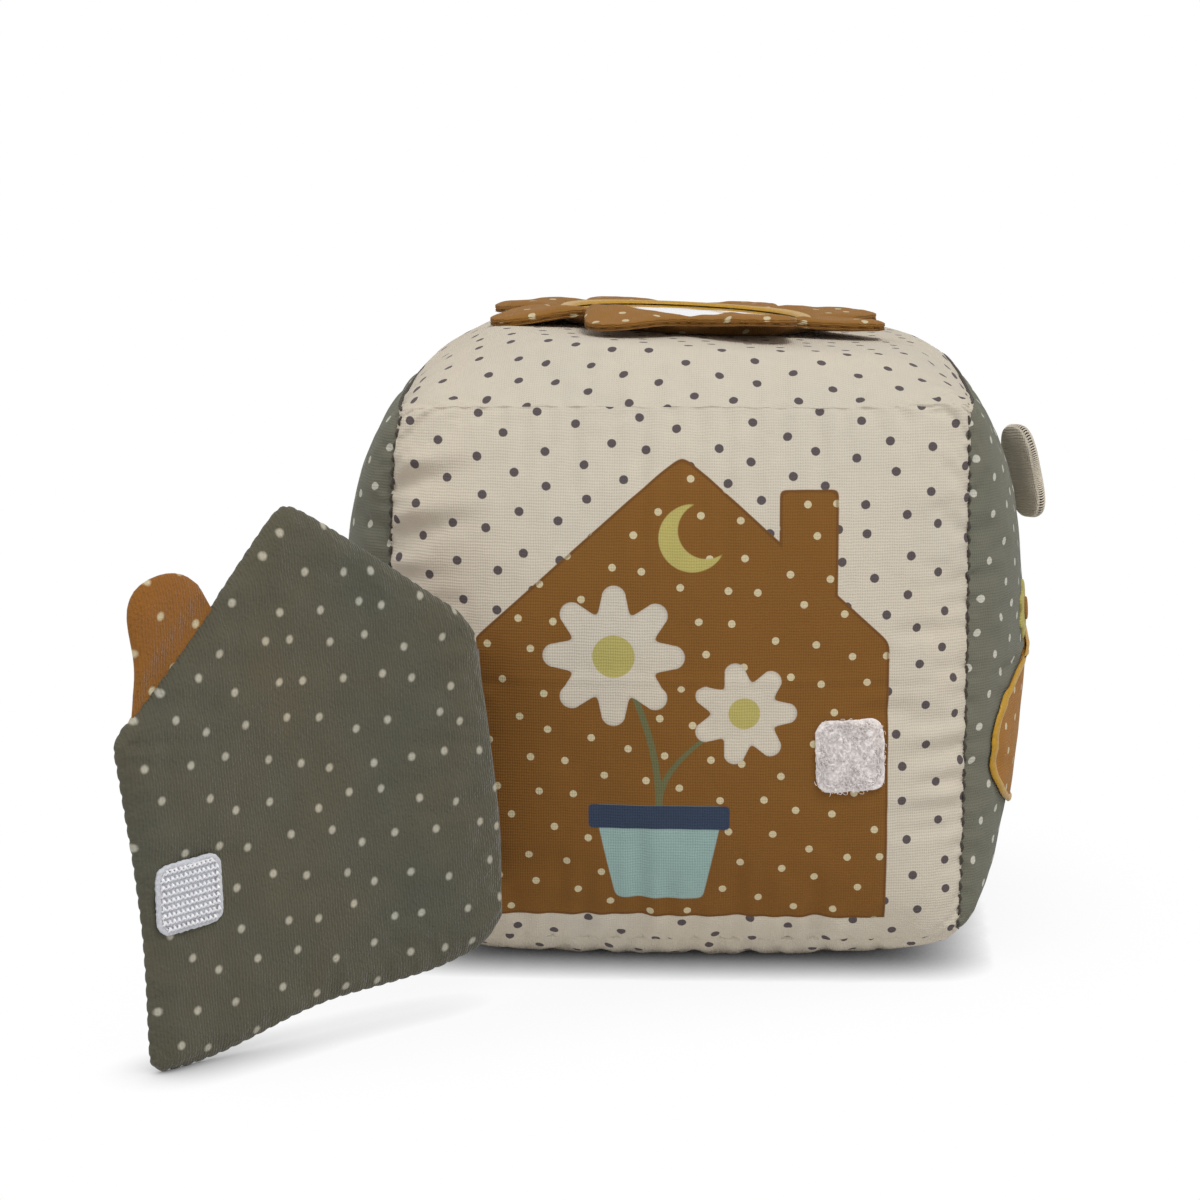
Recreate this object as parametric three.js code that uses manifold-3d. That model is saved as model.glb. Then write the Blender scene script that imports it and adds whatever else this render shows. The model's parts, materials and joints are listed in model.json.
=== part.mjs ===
// A soft rattle cube with a house door, a sun mirror and a padded leaf tab.
// Millimetres. X runs to the right, Y away from the house door, Z up from the floor.
import * as THREE from "three";
import { mergeVertices } from "three/addons/utils/BufferGeometryUtils.js";
import Module from "manifold-3d";

const wasm = await Module();
wasm.setup();

// Cover: six sewn panels
const seamHalfWidth = 62; // from the middle to the corner seams, left and right
const seamHalfDepth = 62; // the same, front and back
const seamHalfHeight = 58.7; // the same, up and down
const seamLift = 8.5; // bottom corner seams above the floor
const seamBow = 1.4; // the middle of a seam swells this far past its corners
const seamFullness = 0.25; // 1 is a parabola, less is fuller towards the ends
const sideSwell = 15.6; // left and right panels swell this far past their seams
const frontSwell = 11.5; // front and back panels
const topSwell = 16; // before the sun draws it down
const bottomSwell = 12.3; // before the floor flattens it
const panelFullness = 0.52; // as for the seams
const topFullness = 0.8; // the top panel is drawn to its middle
const panelThickness = 1.2;
const panelGap = 0.35; // between the edges of two panels
const coverSteps = 10; // facets along each panel
const layerGap = 0.3; // between pieces that lie on each other

// Filling and rattle
const fillingGap = 0.5;
const capsuleRadius = 20;
const capsuleHeight = 30;
const capsuleWall = 1.6;
const capsuleCorner = 5;
const lidShare = 0.3; // share of the capsule's height that the lid makes
const spigotDepth = 3; // the lid's ring that goes into the base
const beadRadius = 2.6;
const beadCount = 5;
const beadLaneRadius = 9.5; // from the capsule's axis to each bead

// House door, a padded flap hinged on its left wall
const doorHingeX = -39; // foot of the hinge line, left of the middle
const doorFootHeight = 12.8; // the same, above the floor
const doorOpening = 137.5; // degrees from the front's plane at rest
const doorHingeTilt = 6; // degrees that the hinge line's top leans with the open door
const doorBaseDroop = 1.9; // degrees that the base runs down towards the free edge
const doorWidth = 91;
const doorWallHeight = 71;
const doorRoofRise = 37;
const doorBow = 1; // the middle of the door stands this far out of the line of its edges
const doorThickness = 4;
const doorFabric = 1; // each of the two outer layers
const doorCornerRadius = 4.5;
const doorStandOff = 7.6; // closed door to the swell of the front panel, at its foot
const foldThickness = 1.8; // the sewn fold that carries the door
const waddingInset = 4.2; // edge of the door to the edge of its wadding

// Chimney tab in the door's roof seam
const chimneyInset = 5.5; // from the door's free edge to its outer edge
const chimneyBase = 21;
const chimneyTop = 15;
const chimneyRise = 8.4; // above the roof where its inner edge leaves it
const chimneyThickness = 2.6;
const chimneyCornerRadius = 6;
const chimneyRoot = 2.2; // depth that is sewn in between the door's layers

// Hook and loop patches
const patchWidth = 16;
const patchHeight = 14.8;
const patchThickness = 1.3;
const patchCornerRadius = 3;
const loopPatchX = 36.9; // middle, right of the cube's middle
const loopPatchHeight = 50.2; // middle, above the floor

// Sun on the top panel
const sunX = -1.5;
const sunY = 8;
const sunSeatDrop = 4; // its stitching draws the top panel this far down
const sunTipRadius = 49;
const sunNotchRadius = 35.5;
const sunRays = 8;
const sunFirstRay = 25; // degrees from +X
const sunThickness = 3.2;
const sunFabric = 0.8;
const sunTipDroop = 2.2; // mean fall of the ray tips
const sunTipWave = 1.3; // each tip falls more or less by this
const sunRayRest = 0.6; // share of the way down to the panel that a ray can take
const mirrorRadius = 30;
const windowRadius = 28;
const ringWidth = 2.6;
const ringThickness = 1;

// Flower pot applique on the right panel, measured from the cube's middle, away from the door and up
const potY = 0;
const potZ = -19.2;
const potHalfWidth = 52;
const potHalfHeight = 18.5;
const potSquareness = 3; // 2 is an ellipse, more is squarer
const appliqueThickness = 0.8;
const borderWidth = 2;
const borderThickness = 1.4;
const flowerY = -33;
const flowerZ = 10.4;
const flowerRadius = 7;
const flowerMiddleRadius = 2.6;
const footY = 28; // each foot of the pot, from its middle
const footZ = -46.8;
const footHalfWidth = 7;
const footHalfHeight = 5;

// Leaf tab on the right panel
const leafRootY = 8; // away from the door
const leafRootZ = 37; // above the cube's middle
const leafLength = 15;
const leafHalfHeight = 11;
const leafThickness = 3.4;
const leafFabric = 0.8;
const leafOpening = 52; // degrees from straight out, towards the door

const middleHeight = seamLift + seamHalfHeight;
const topHeight = middleHeight + seamHalfHeight + seamBow + topSwell;
const sunSeatHeight = topHeight - sunSeatDrop;
const up = new THREE.Vector3(0, 0, 1);

// Materials
function cloth(hex, roughness = 0.9) {
  return new THREE.MeshStandardMaterial({ color: hex, roughness, metalness: 0 });
}
const cream = cloth(0xcdc3b2);
const greyGreen = cloth(0x696b5f);
const liningGreen = cloth(0x58564a);
const ochre = cloth(0x966228);
const sunBrown = cloth(0x966c3e);
const gold = cloth(0xb4821e, 0.6);
const yellow = cloth(0xc4b060);
const tapeWhite = cloth(0xcdcdd2);
const fibre = cloth(0xe8e6e0);
const mirrorSilver = new THREE.MeshStandardMaterial({ color: 0xd2d2d7, roughness: 0.08, metalness: 1 });
const capsulePlastic = new THREE.MeshStandardMaterial({ color: 0xd8dad8, roughness: 0.4, metalness: 0 });
const beadPlastic = new THREE.MeshStandardMaterial({ color: 0x6a8fa0, roughness: 0.35, metalness: 0 });

const rattleCube = new THREE.Group();

// Adds a named piece to a group
function add(name, geometry, material, parent = rattleCube) {
  const mesh = new THREE.Mesh(geometry, material);
  mesh.name = name;
  parent.add(mesh);
  return mesh;
}

// A geometry from points and triangles, turned so that its faces point out
function closedGeometry(points, triangles) {
  let volume = 0;
  for (let i = 0; i < triangles.length; i += 3) {
    const [a, b, c] = [points[triangles[i]], points[triangles[i + 1]], points[triangles[i + 2]]];
    volume += a.dot(b.clone().cross(c));
  }
  const index = volume < 0 ? triangles.slice().reverse() : triangles;
  return new THREE.BufferGeometry().setFromPoints(points).setIndex(index);
}

// A sheet with a top and an under side, each a grid of points, closed by walls along its four edges
function sheetSolid(across, along, topPoint, underPoint) {
  const points = [];
  const triangles = [];
  const row = along + 1;
  const layer = (across + 1) * row;
  for (const pointAt of [topPoint, underPoint]) {
    for (let i = 0; i <= across; i++) {
      for (let j = 0; j <= along; j++) points.push(pointAt(i / across, j / along));
    }
  }
  const quad = (a, b, c, d) => triangles.push(a, b, c, a, c, d);
  for (let i = 0; i < across; i++) {
    for (let j = 0; j < along; j++) {
      const a = i * row + j;
      quad(a, a + row, a + row + 1, a + 1);
      quad(layer + a, layer + a + 1, layer + a + row + 1, layer + a + row);
    }
  }
  for (let i = 0; i < across; i++) {
    const [near, far] = [i * row, i * row + along];
    quad(near, near + layer, near + row + layer, near + row);
    quad(far, far + row, far + row + layer, far + layer);
  }
  for (let j = 0; j < along; j++) {
    const far = across * row + j;
    quad(j, j + 1, j + 1 + layer, j + layer);
    quad(far, far + layer, far + 1 + layer, far + 1);
  }
  return closedGeometry(points, triangles);
}

// A section of a ring solid: the edge of an outline scaled by share, moved out along its normal
function edge(outline, share, out, height) {
  return (angle) => {
    const along = outline(angle + 0.001).sub(outline(angle - 0.001));
    const normal = new THREE.Vector2(along.y, -along.x).normalize();
    const spot = outline(angle).multiplyScalar(share).addScaledVector(normal, out);
    return new THREE.Vector3(spot.x, spot.y, height);
  };
}

const middle = (height) => () => new THREE.Vector3(0, 0, height);
const round = (radius) => (angle) => new THREE.Vector2(Math.cos(angle), Math.sin(angle)).multiplyScalar(radius);
const circle = (radius, height) => edge(round(radius), 1, 0, height);

// A rounded box: power 2 is an ellipse, more is squarer
function roundedBox(halfAcross, halfAlong, power = 5) {
  const soften = (value) => Math.sign(value) * Math.abs(value) ** (2 / power);
  return (angle) => {
    const [x, y] = [Math.cos(angle), Math.sin(angle)].map(soften);
    return new THREE.Vector2(halfAcross * x, halfAlong * y);
  };
}

// A solid made of rings round an axis, one for each section. It closes on the axis where the
// first and last section lie on it, and on itself otherwise.
function ringSolid(sections, steps, place = (spot) => spot) {
  const points = [];
  const triangles = [];
  const rings = sections.map((section) => {
    const count = Math.hypot(section(0).x, section(0).y) === 0 ? 1 : steps;
    const first = points.length;
    for (let k = 0; k < count; k++) points.push(place(section((2 * Math.PI * k) / steps)));
    return { first, count };
  });
  const open = rings[0].count > 1;
  const pairs = rings.map((ring, n) => [ring, rings[(n + 1) % rings.length]]);
  if (!open) pairs.pop();
  for (const [a, b] of pairs) {
    for (let k = 0; k < steps; k++) {
      const next = (k + 1) % steps;
      const [a0, a1] = a.count > 1 ? [a.first + k, a.first + next] : [a.first, a.first];
      const [b0, b1] = b.count > 1 ? [b.first + k, b.first + next] : [b.first, b.first];
      if (a0 !== a1) triangles.push(a0, a1, b1);
      if (b0 !== b1) triangles.push(a0, b1, b0);
    }
  }
  return closedGeometry(points, triangles);
}

// Booleans
function toSolid(geometry) {
  const plain = geometry.clone();
  plain.deleteAttribute("normal");
  plain.deleteAttribute("uv");
  const merged = mergeVertices(plain, 1e-4);
  const vertProperties = new Float32Array(merged.attributes.position.array);
  const triVerts = new Uint32Array(merged.index.array);
  return new wasm.Manifold(new wasm.Mesh({ numProp: 3, vertProperties, triVerts }));
}

function toGeometry(solid) {
  const mesh = solid.getMesh();
  return new THREE.BufferGeometry()
    .setAttribute("position", new THREE.BufferAttribute(mesh.vertProperties, 3))
    .setIndex(new THREE.BufferAttribute(mesh.triVerts, 1));
}

// The stuffed cover. x, y and z run from -1 to 1 over the cube's surface; depth goes inwards
const fullAt = (share, fullness) => Math.max(0, 1 - share ** 2) ** fullness;
function coverPoint({ x, y, z }, depth = 0) {
  const swollen = (half, swell, p, q, fullness = panelFullness) => {
    const [a, b] = [fullAt(p, seamFullness), fullAt(q, seamFullness)];
    const crown = fullAt(p, fullness) * fullAt(q, fullness);
    return half - depth + seamBow * (a + b - a * b) + swell * crown;
  };
  const [swell, fullness] = z > 0 ? [topSwell, topFullness] : [bottomSwell, panelFullness];
  const height = z * swollen(seamHalfHeight, swell, x, y, fullness);
  return new THREE.Vector3(
    x * swollen(seamHalfWidth, sideSwell, y, z),
    y * swollen(seamHalfDepth, frontSwell, x, z),
    THREE.MathUtils.clamp(middleHeight + height, depth, sunSeatHeight - depth),
  );
}

const axis = (x, y, z) => new THREE.Vector3(x, y, z);
const faces = {
  front: { out: axis(0, -1, 0), across: axis(1, 0, 0), along: axis(0, 0, 1), material: cream },
  back: { out: axis(0, 1, 0), across: axis(-1, 0, 0), along: axis(0, 0, 1), material: cream },
  left: { out: axis(-1, 0, 0), across: axis(0, -1, 0), along: axis(0, 0, 1), material: greyGreen },
  right: { out: axis(1, 0, 0), across: axis(0, 1, 0), along: axis(0, 0, 1), material: greyGreen },
  top: { out: axis(0, 0, 1), across: axis(1, 0, 0), along: axis(0, 1, 0), material: cream },
  bottom: { out: axis(0, 0, -1), across: axis(1, 0, 0), along: axis(0, -1, 0), material: cream },
};

// Facets lie closer together towards the seams, where the panels curve most
const spread = (share) => Math.sin((share - 0.5) * Math.PI);
function facePoint(face, s, t, depth) {
  const place = face.out.clone().addScaledVector(face.across, s).addScaledVector(face.along, t);
  return coverPoint(place, depth);
}

// The point of a face that lies p across and q along it from the cube's middle
function faceSpot(face, p, q, lift = 0) {
  let s = p / seamHalfWidth;
  let t = q / seamHalfHeight;
  let point;
  for (let pass = 0; pass < 5; pass++) {
    point = facePoint(face, s, t, -lift);
    const fromMiddle = point.clone().addScaledVector(up, -middleHeight);
    s += (p - fromMiddle.dot(face.across)) / seamHalfWidth;
    t += (q - fromMiddle.dot(face.along)) / seamHalfHeight;
  }
  return point;
}

const inset = panelGap / Math.SQRT2;
for (const [side, face] of Object.entries(faces)) {
  const half = (direction) =>
    Math.abs(direction.x) * seamHalfWidth +
    Math.abs(direction.y) * seamHalfDepth +
    Math.abs(direction.z) * seamHalfHeight;
  const reachS = 1 - inset / half(face.across);
  const reachT = 1 - inset / half(face.along);
  const at = (depth) => (i, j) => facePoint(face, spread(i) * reachS, spread(j) * reachT, depth);
  const panel = sheetSolid(coverSteps, coverSteps, at(0), at(panelThickness));
  add(side + "_panel", panel, face.material);
}

// Filling: two wads that meet at mid height, with a pocket for the rattle
function fillingGeometry() {
  const points = [];
  const triangles = [];
  const row = coverSteps + 1;
  for (const face of Object.values(faces)) {
    const first = points.length;
    for (let i = 0; i < row; i++) {
      for (let j = 0; j < row; j++) {
        const [s, t] = [spread(i / coverSteps), spread(j / coverSteps)];
        points.push(facePoint(face, s, t, panelThickness + fillingGap));
      }
    }
    for (let i = 0; i < coverSteps; i++) {
      for (let j = 0; j < coverSteps; j++) {
        const a = first + i * row + j;
        triangles.push(a, a + row, a + row + 1, a, a + row + 1, a + 1);
      }
    }
  }
  return closedGeometry(points, triangles);
}

const pocketRadius = capsuleRadius + fillingGap;
const pocketHeight = capsuleHeight + 2 * fillingGap;
const pocket = new THREE.CylinderGeometry(pocketRadius, pocketRadius, pocketHeight, 24);
pocket.rotateX(Math.PI / 2).translate(0, 0, middleHeight);
const wads = toSolid(fillingGeometry()).subtract(toSolid(pocket));
const boxSide = 4 * (seamHalfWidth + seamHalfDepth);
for (const [name, side] of [["filling_lower", -1], ["filling_upper", 1]]) {
  const half = new THREE.BoxGeometry(boxSide, boxSide, boxSide);
  half.translate(0, 0, middleHeight + side * (boxSide / 2 + layerGap / 2));
  add(name, toGeometry(wads.intersect(toSolid(half))), fibre);
}

// Rattle capsule: a turned base and a lid whose spigot goes into it
const capsule = new THREE.Group();
capsule.position.z = middleHeight - capsuleHeight / 2;
rattleCube.add(capsule);
const lidStart = capsuleHeight * (1 - lidShare);

function turned(points, steps = 24) {
  const profile = points.map(([radius, height]) => new THREE.Vector2(radius, height));
  const geometry = new THREE.LatheGeometry(profile, steps).rotateX(Math.PI / 2);
  return toGeometry(toSolid(geometry));
}

// Points of a quarter round from the floor of a cup up to its wall
function cupCorner(wallRadius, floorHeight, radius, steps = 4) {
  return Array.from({ length: steps + 1 }, (_, n) => {
    const angle = (Math.PI / 2) * (n / steps);
    const x = wallRadius - radius + radius * Math.sin(angle);
    return [x, floorHeight + radius - radius * Math.cos(angle)];
  });
}

const innerCorner = capsuleCorner - capsuleWall;
const innerRadius = capsuleRadius - capsuleWall;
const baseTop = lidStart - layerGap;
const baseProfile = [
  [0, 0],
  ...cupCorner(capsuleRadius, 0, capsuleCorner),
  [capsuleRadius, baseTop],
  [innerRadius, baseTop],
  ...cupCorner(innerRadius, capsuleWall, innerCorner).reverse(),
  [0, capsuleWall],
];
const spigotRadius = innerRadius - layerGap;
const flip = ([radius, height]) => [radius, capsuleHeight - height];
const lidProfile = [
  [0, capsuleHeight - capsuleWall],
  ...cupCorner(innerRadius - capsuleWall, capsuleWall, innerCorner).map(flip),
  [spigotRadius - capsuleWall, lidStart - spigotDepth],
  [spigotRadius, lidStart - spigotDepth],
  [spigotRadius, lidStart],
  [capsuleRadius, lidStart],
  ...cupCorner(capsuleRadius, 0, capsuleCorner).reverse().map(flip),
  [0, capsuleHeight],
];
add("rattle_capsule_base", turned(baseProfile), capsulePlastic, capsule);
add("rattle_capsule_lid", turned(lidProfile), capsulePlastic, capsule);
for (let n = 0; n < beadCount; n++) {
  const lane = (2 * Math.PI * n) / beadCount;
  const bead = add("rattle_bead_" + (n + 1), new THREE.SphereGeometry(beadRadius, 10, 7), beadPlastic, capsule);
  bead.position.set(beadLaneRadius * Math.cos(lane), beadLaneRadius * Math.sin(lane), 0);
  bead.position.z = capsuleWall + layerGap + beadRadius;
}

// Outline with rounded corners from [x, y, radius] corners
function roundedShape(corners) {
  const shape = new THREE.Shape();
  corners.forEach(([x, y, radius], n) => {
    const corner = new THREE.Vector2(x, y);
    const [px, py] = corners.at(n - 1);
    const [nx, ny] = corners[(n + 1) % corners.length];
    const before = new THREE.Vector2(px, py).sub(corner).setLength(radius).add(corner);
    const after = new THREE.Vector2(nx, ny).sub(corner).setLength(radius).add(corner);
    if (n === 0) shape.moveTo(before.x, before.y);
    else shape.lineTo(before.x, before.y);
    if (radius > 0) shape.quadraticCurveTo(x, y, after.x, after.y);
  });
  shape.closePath();
  return shape;
}

// Door. In its own frame x runs from the hinge line to the free edge, z up the hinge line and
// y to the lining side. Its layers are bent sheets cut to an outline.
const door = new THREE.Group();
const slope = THREE.MathUtils.degToRad;
const crownAt = (x) => fullAt(x / (seamHalfWidth + seamBow), panelFullness);
const frontAt = (x) => seamHalfDepth + seamBow + frontSwell * crownAt(x);
door.position.set(doorHingeX, -(frontAt(doorHingeX) + doorStandOff + doorThickness / 2), doorFootHeight);
door.rotation.set(0, slope(doorHingeTilt), slope(-doorOpening), "ZYX");
rattleCube.add(door);
door.updateMatrixWorld(true);
const bend = (x) => -doorBow * (1 - ((2 * x) / doorWidth - 1) ** 2);
const halfDoor = doorThickness / 2;
const bendSteps = 12;
const rootSteps = 4;

// A bent sheet between two distances from the door's middle layer, with the round root of the hinge
function bentSheet(from, to) {
  const places = [];
  for (let n = 1; n <= rootSteps; n++) places.push(-halfDoor * Math.cos((Math.PI / 2) * (n / rootSteps)));
  for (let n = 1; n <= bendSteps + 1; n++) places.push((doorWidth * n) / bendSteps);
  const limit = (x) => (x < 0 ? Math.sqrt(halfDoor ** 2 - x ** 2) : Infinity);
  const near = places.filter((x) => Math.max(from, -limit(x)) < Math.min(to, limit(x)) - 0.01);
  const lower = near.map((x) => [x, bend(x) + Math.max(from, -limit(x))]);
  const upper = near.map((x) => [x, bend(x) + Math.min(to, limit(x))]).reverse();
  const section = new THREE.Shape([...lower, ...upper].map(([x, y]) => new THREE.Vector2(x, y)));
  const tall = 2 * (doorWallHeight + doorRoofRise);
  const sheet = new THREE.ExtrudeGeometry(section, { depth: tall, bevelEnabled: false });
  return toSolid(sheet.translate(0, 0, -tall / 4));
}

// An outline drawn on the door as a prism across all its layers
const baseFall = Math.tan(slope(doorBaseDroop));
function doorPrism(shape) {
  const deep = 4 * (doorBow + doorThickness);
  const prism = new THREE.ExtrudeGeometry(shape, { depth: deep, bevelEnabled: false, curveSegments: 6 });
  prism.rotateX(Math.PI / 2).translate(0, deep / 2, 0);
  const place = prism.attributes.position;
  for (let n = 0; n < place.count; n++) place.setZ(n, place.getZ(n) - place.getX(n) * baseFall);
  return toSolid(prism);
}

const roofSlope = Math.atan2(doorRoofRise, doorWidth / 2);
function houseShape(edge, radius) {
  const eave = doorWallHeight + edge * (Math.tan(roofSlope) - 1 / Math.cos(roofSlope));
  const apex = doorWallHeight + doorRoofRise - edge / Math.cos(roofSlope);
  const hingeSide = edge > 0 ? edge : -halfDoor;
  const hingeEave = edge > 0 ? eave : doorWallHeight - halfDoor * Math.tan(roofSlope);
  return roundedShape([
    [hingeSide, edge, edge > 0 ? radius : 0],
    [doorWidth - edge, edge, radius],
    [doorWidth - edge, eave, radius],
    [doorWidth / 2, apex, radius * 1.5],
    [hingeSide, hingeEave, edge > 0 ? radius : 0],
  ]);
}

function chimneyShape(side) {
  const roofAt = (x) => doorWallHeight + doorRoofRise - Math.abs(x - doorWidth / 2) * Math.tan(roofSlope);
  const sunk = (chimneyRoot + side) / Math.cos(roofSlope);
  const start = doorWidth - chimneyInset - chimneyBase;
  const [inner, outer] = [start - side, start + chimneyBase + side];
  const taper = (chimneyBase - chimneyTop) / 2;
  const chimneyHeight = roofAt(start) + chimneyRise;
  return roundedShape([
    [inner, roofAt(inner) - sunk, 0],
    [outer, roofAt(outer) - sunk, 0],
    [outer, roofAt(outer) + side, 0],
    [outer - taper, chimneyHeight + side, chimneyCornerRadius],
    [inner + taper, chimneyHeight + side, chimneyCornerRadius],
    [inner, roofAt(inner) + side, 0],
  ]);
}

const house = doorPrism(houseShape(0, doorCornerRadius));
const room = doorPrism(houseShape(doorFabric, doorCornerRadius - doorFabric));
const chimneySlot = bentSheet(-chimneyThickness / 2 - layerGap, chimneyThickness / 2 + layerGap).intersect(
  doorPrism(chimneyShape(layerGap)),
);
for (const [name, side, material] of [["door_face", -1, ochre], ["door_lining", 1, liningGreen]]) {
  const between = (a, b) => bentSheet(Math.min(side * a, side * b), Math.max(side * a, side * b));
  const shell = between(layerGap / 2, halfDoor).intersect(house);
  const hollow = between(0, halfDoor - doorFabric).intersect(room);
  add(name, toGeometry(shell.subtract(hollow).subtract(chimneySlot)), material, door);
}
const waddingHalf = halfDoor - doorFabric - layerGap;
const waddingOutline = doorPrism(houseShape(waddingInset, doorCornerRadius));
add("door_wadding", toGeometry(bentSheet(-waddingHalf, waddingHalf).intersect(waddingOutline)), fibre, door);
const chimneySheet = bentSheet(-chimneyThickness / 2, chimneyThickness / 2);
const chimneyTab = chimneySheet.intersect(doorPrism(chimneyShape(0)));
add("chimney_tab", toGeometry(chimneyTab), ochre, door);

// Hook patch on the lining, where it meets the loop patch when the door is closed
const hookX = loopPatchX - doorHingeX;
const hookZ = loopPatchHeight - doorFootHeight;
const hookOutline = roundedShape(
  [[-1, -1], [1, -1], [1, 1], [-1, 1]].map(([x, y]) => [
    hookX + (x * patchWidth) / 2,
    hookZ + (y * patchHeight) / 2,
    patchCornerRadius,
  ]),
);
const patchSheet = bentSheet(halfDoor + layerGap, halfDoor + layerGap + patchThickness);
add("hook_patch", toGeometry(patchSheet.intersect(doorPrism(hookOutline))), tapeWhite, door);

// Hinge fold: the door's sewn edge, from the front panel to the door's root
const foldSteps = 8;
const foldEnd = halfDoor + layerGap;
function foldPoint(side) {
  return (i, j) => {
    const root = door.localToWorld(new THREE.Vector3(0, 0, doorWallHeight * i));
    const x = root.x + side * (foldThickness / 2);
    const seat = faceSpot(faces.front, x, root.z - middleHeight, layerGap);
    return new THREE.Vector3(x, THREE.MathUtils.lerp(seat.y, root.y + foldEnd, j), seat.z);
  };
}
add("hinge_fold", sheetSolid(foldSteps, 2, foldPoint(-1), foldPoint(1)), liningGreen);

// Pieces sewn on a face: x and y run across and along it from their own middle, z is their lift
function sewnOn(face, p, q) {
  return (spot) => faceSpot(face, p + spot.x, q + spot.y, spot.z);
}

// A flat patch: its top from the middle out, then its under side back in
function patch(outline, thickness, steps, place, rings = 3) {
  const shares = Array.from({ length: rings }, (_, n) => (n + 1) / rings);
  const layer = (height) => [middle(height), ...shares.map((share) => edge(outline, share, 0, height))];
  return ringSolid([...layer(layerGap + thickness), ...layer(layerGap).reverse()], steps, place);
}

const loopPlace = sewnOn(faces.front, loopPatchX, loopPatchHeight - middleHeight);
const loopOutline = roundedBox(patchWidth / 2, patchHeight / 2);
add("loop_patch", patch(loopOutline, patchThickness, 24, loopPlace), tapeWhite);

// Flower pot with its satin stitched border, a flower and two feet
const potPlace = sewnOn(faces.right, potY, potZ);
const potOutline = roundedBox(potHalfWidth, potHalfHeight, potSquareness);
add("pot_applique", patch(potOutline, appliqueThickness, 36, potPlace, 5), ochre);
const satin = [
  [0, 0],
  [0, 0.6],
  [0.3, 1],
  [0.7, 1],
  [1, 0.6],
  [1, 0],
];
const borderSections = satin.map(([out, height]) =>
  edge(potOutline, 1, layerGap + out * borderWidth, layerGap + height * borderThickness),
);
add("pot_border", ringSolid(borderSections, 36, potPlace), gold);
const flowerPlace = sewnOn(faces.right, flowerY, flowerZ);
const flowerSections = [
  [flowerMiddleRadius + layerGap, 1],
  [flowerRadius, 1],
  [flowerRadius, 0],
  [flowerMiddleRadius + layerGap, 0],
].map(([radius, top]) => circle(radius, layerGap + top * appliqueThickness));
add("flower_applique", ringSolid(flowerSections, 20, flowerPlace), yellow);
const flowerMiddle = patch(round(flowerMiddleRadius), appliqueThickness, 12, flowerPlace, 1);
add("flower_middle", flowerMiddle, ochre);
const footOutline = roundedBox(footHalfWidth, footHalfHeight, 2.4);
for (const [name, side] of [["pot_foot_near", -1], ["pot_foot_far", 1]]) {
  const footPlace = sewnOn(faces.right, potY + side * footY, footZ);
  add(name, patch(footOutline, appliqueThickness, 16, footPlace, 2), cream);
}

// Sun: two fabric layers round a wadding ring and a mirror
const sun = new THREE.Group();
sun.position.set(sunX, sunY, sunSeatHeight + layerGap + sunThickness / 2);
rattleCube.add(sun);
const firstRay = slope(sunFirstRay);
const sunSteps = sunRays * 8;
const sunOutline = (angle) => {
  const lobe = Math.cos(((angle - firstRay) * sunRays) / 2) ** 2;
  return round(sunNotchRadius + (sunTipRadius - sunNotchRadius) * lobe)(angle);
};

// The rays hang down towards their tips, as far as the top panel lets them
function sunPlace(spot) {
  const beyond = Math.hypot(spot.x, spot.y) - sunNotchRadius;
  const out = Math.max(0, beyond) / (sunTipRadius - sunNotchRadius);
  const fall = sunTipDroop + sunTipWave * Math.sin(3 * Math.atan2(spot.y, spot.x));
  const room = (sunSeatHeight - faceSpot(faces.top, sunX + spot.x, sunY + spot.y).z) * sunRayRest;
  return spot.clone().addScaledVector(up, -Math.min(fall * out ** 1.5, room));
}
const halfSun = sunThickness / 2;
const sunRoom = halfSun - sunFabric;
const sunRing = windowRadius + ringWidth + layerGap;
const rim = (share, out, height) => edge(sunOutline, share, out, height);
const midway = (height) => (angle) => {
  const inner = circle(sunRing, height)(angle);
  return inner.lerp(rim(1, -sunFabric * 3, height)(angle), 0.5);
};

// A fabric layer from its outer surface round the rim and back along its inner surface
function sunLayer(side, start) {
  return [
    start(side * halfSun),
    circle(sunRing, side * halfSun),
    midway(side * halfSun),
    rim(1, -sunFabric * 3, side * halfSun),
    rim(1, -sunFabric / 2, side * halfSun * 0.75),
    rim(1, 0, (side * layerGap) / 2),
    rim(1, -sunFabric, (side * layerGap) / 2),
    rim(1, -sunFabric * 3, side * sunRoom),
    midway(side * sunRoom),
    circle(sunRing, side * sunRoom),
    start(side * sunRoom),
  ];
}
const windowEdge = (height) => circle(windowRadius, height);
const waddingTop = sunRoom - layerGap;
const mirrorEdge = mirrorRadius + layerGap;
const sunWaddingSections = [
  circle(mirrorEdge, waddingTop),
  midway(waddingTop),
  rim(1, -sunFabric * 4.5, waddingTop),
  rim(1, -sunFabric * 4.5, -waddingTop),
  midway(-waddingTop),
  circle(mirrorEdge, -waddingTop),
];
add("sun_face", ringSolid(sunLayer(1, windowEdge), sunSteps, sunPlace), sunBrown, sun);
add("sun_back", ringSolid(sunLayer(-1, middle), sunSteps, sunPlace), sunBrown, sun);
add("sun_wadding", ringSolid(sunWaddingSections, sunSteps, sunPlace), fibre, sun);
const mirror = new THREE.CylinderGeometry(mirrorRadius, mirrorRadius, 2 * waddingTop, 40);
add("sun_mirror", mirror.rotateX(Math.PI / 2), mirrorSilver, sun);
const stitchBase = halfSun + layerGap;
const ringSections = [
  [0, 0],
  [ringWidth * 0.15, ringThickness * 0.7],
  [ringWidth * 0.5, ringThickness],
  [ringWidth * 0.85, ringThickness * 0.7],
  [ringWidth, 0],
].map(([out, height]) => circle(windowRadius + layerGap + out, stitchBase + height));
add("mirror_ring", ringSolid(ringSections, 40), gold, sun);

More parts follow.
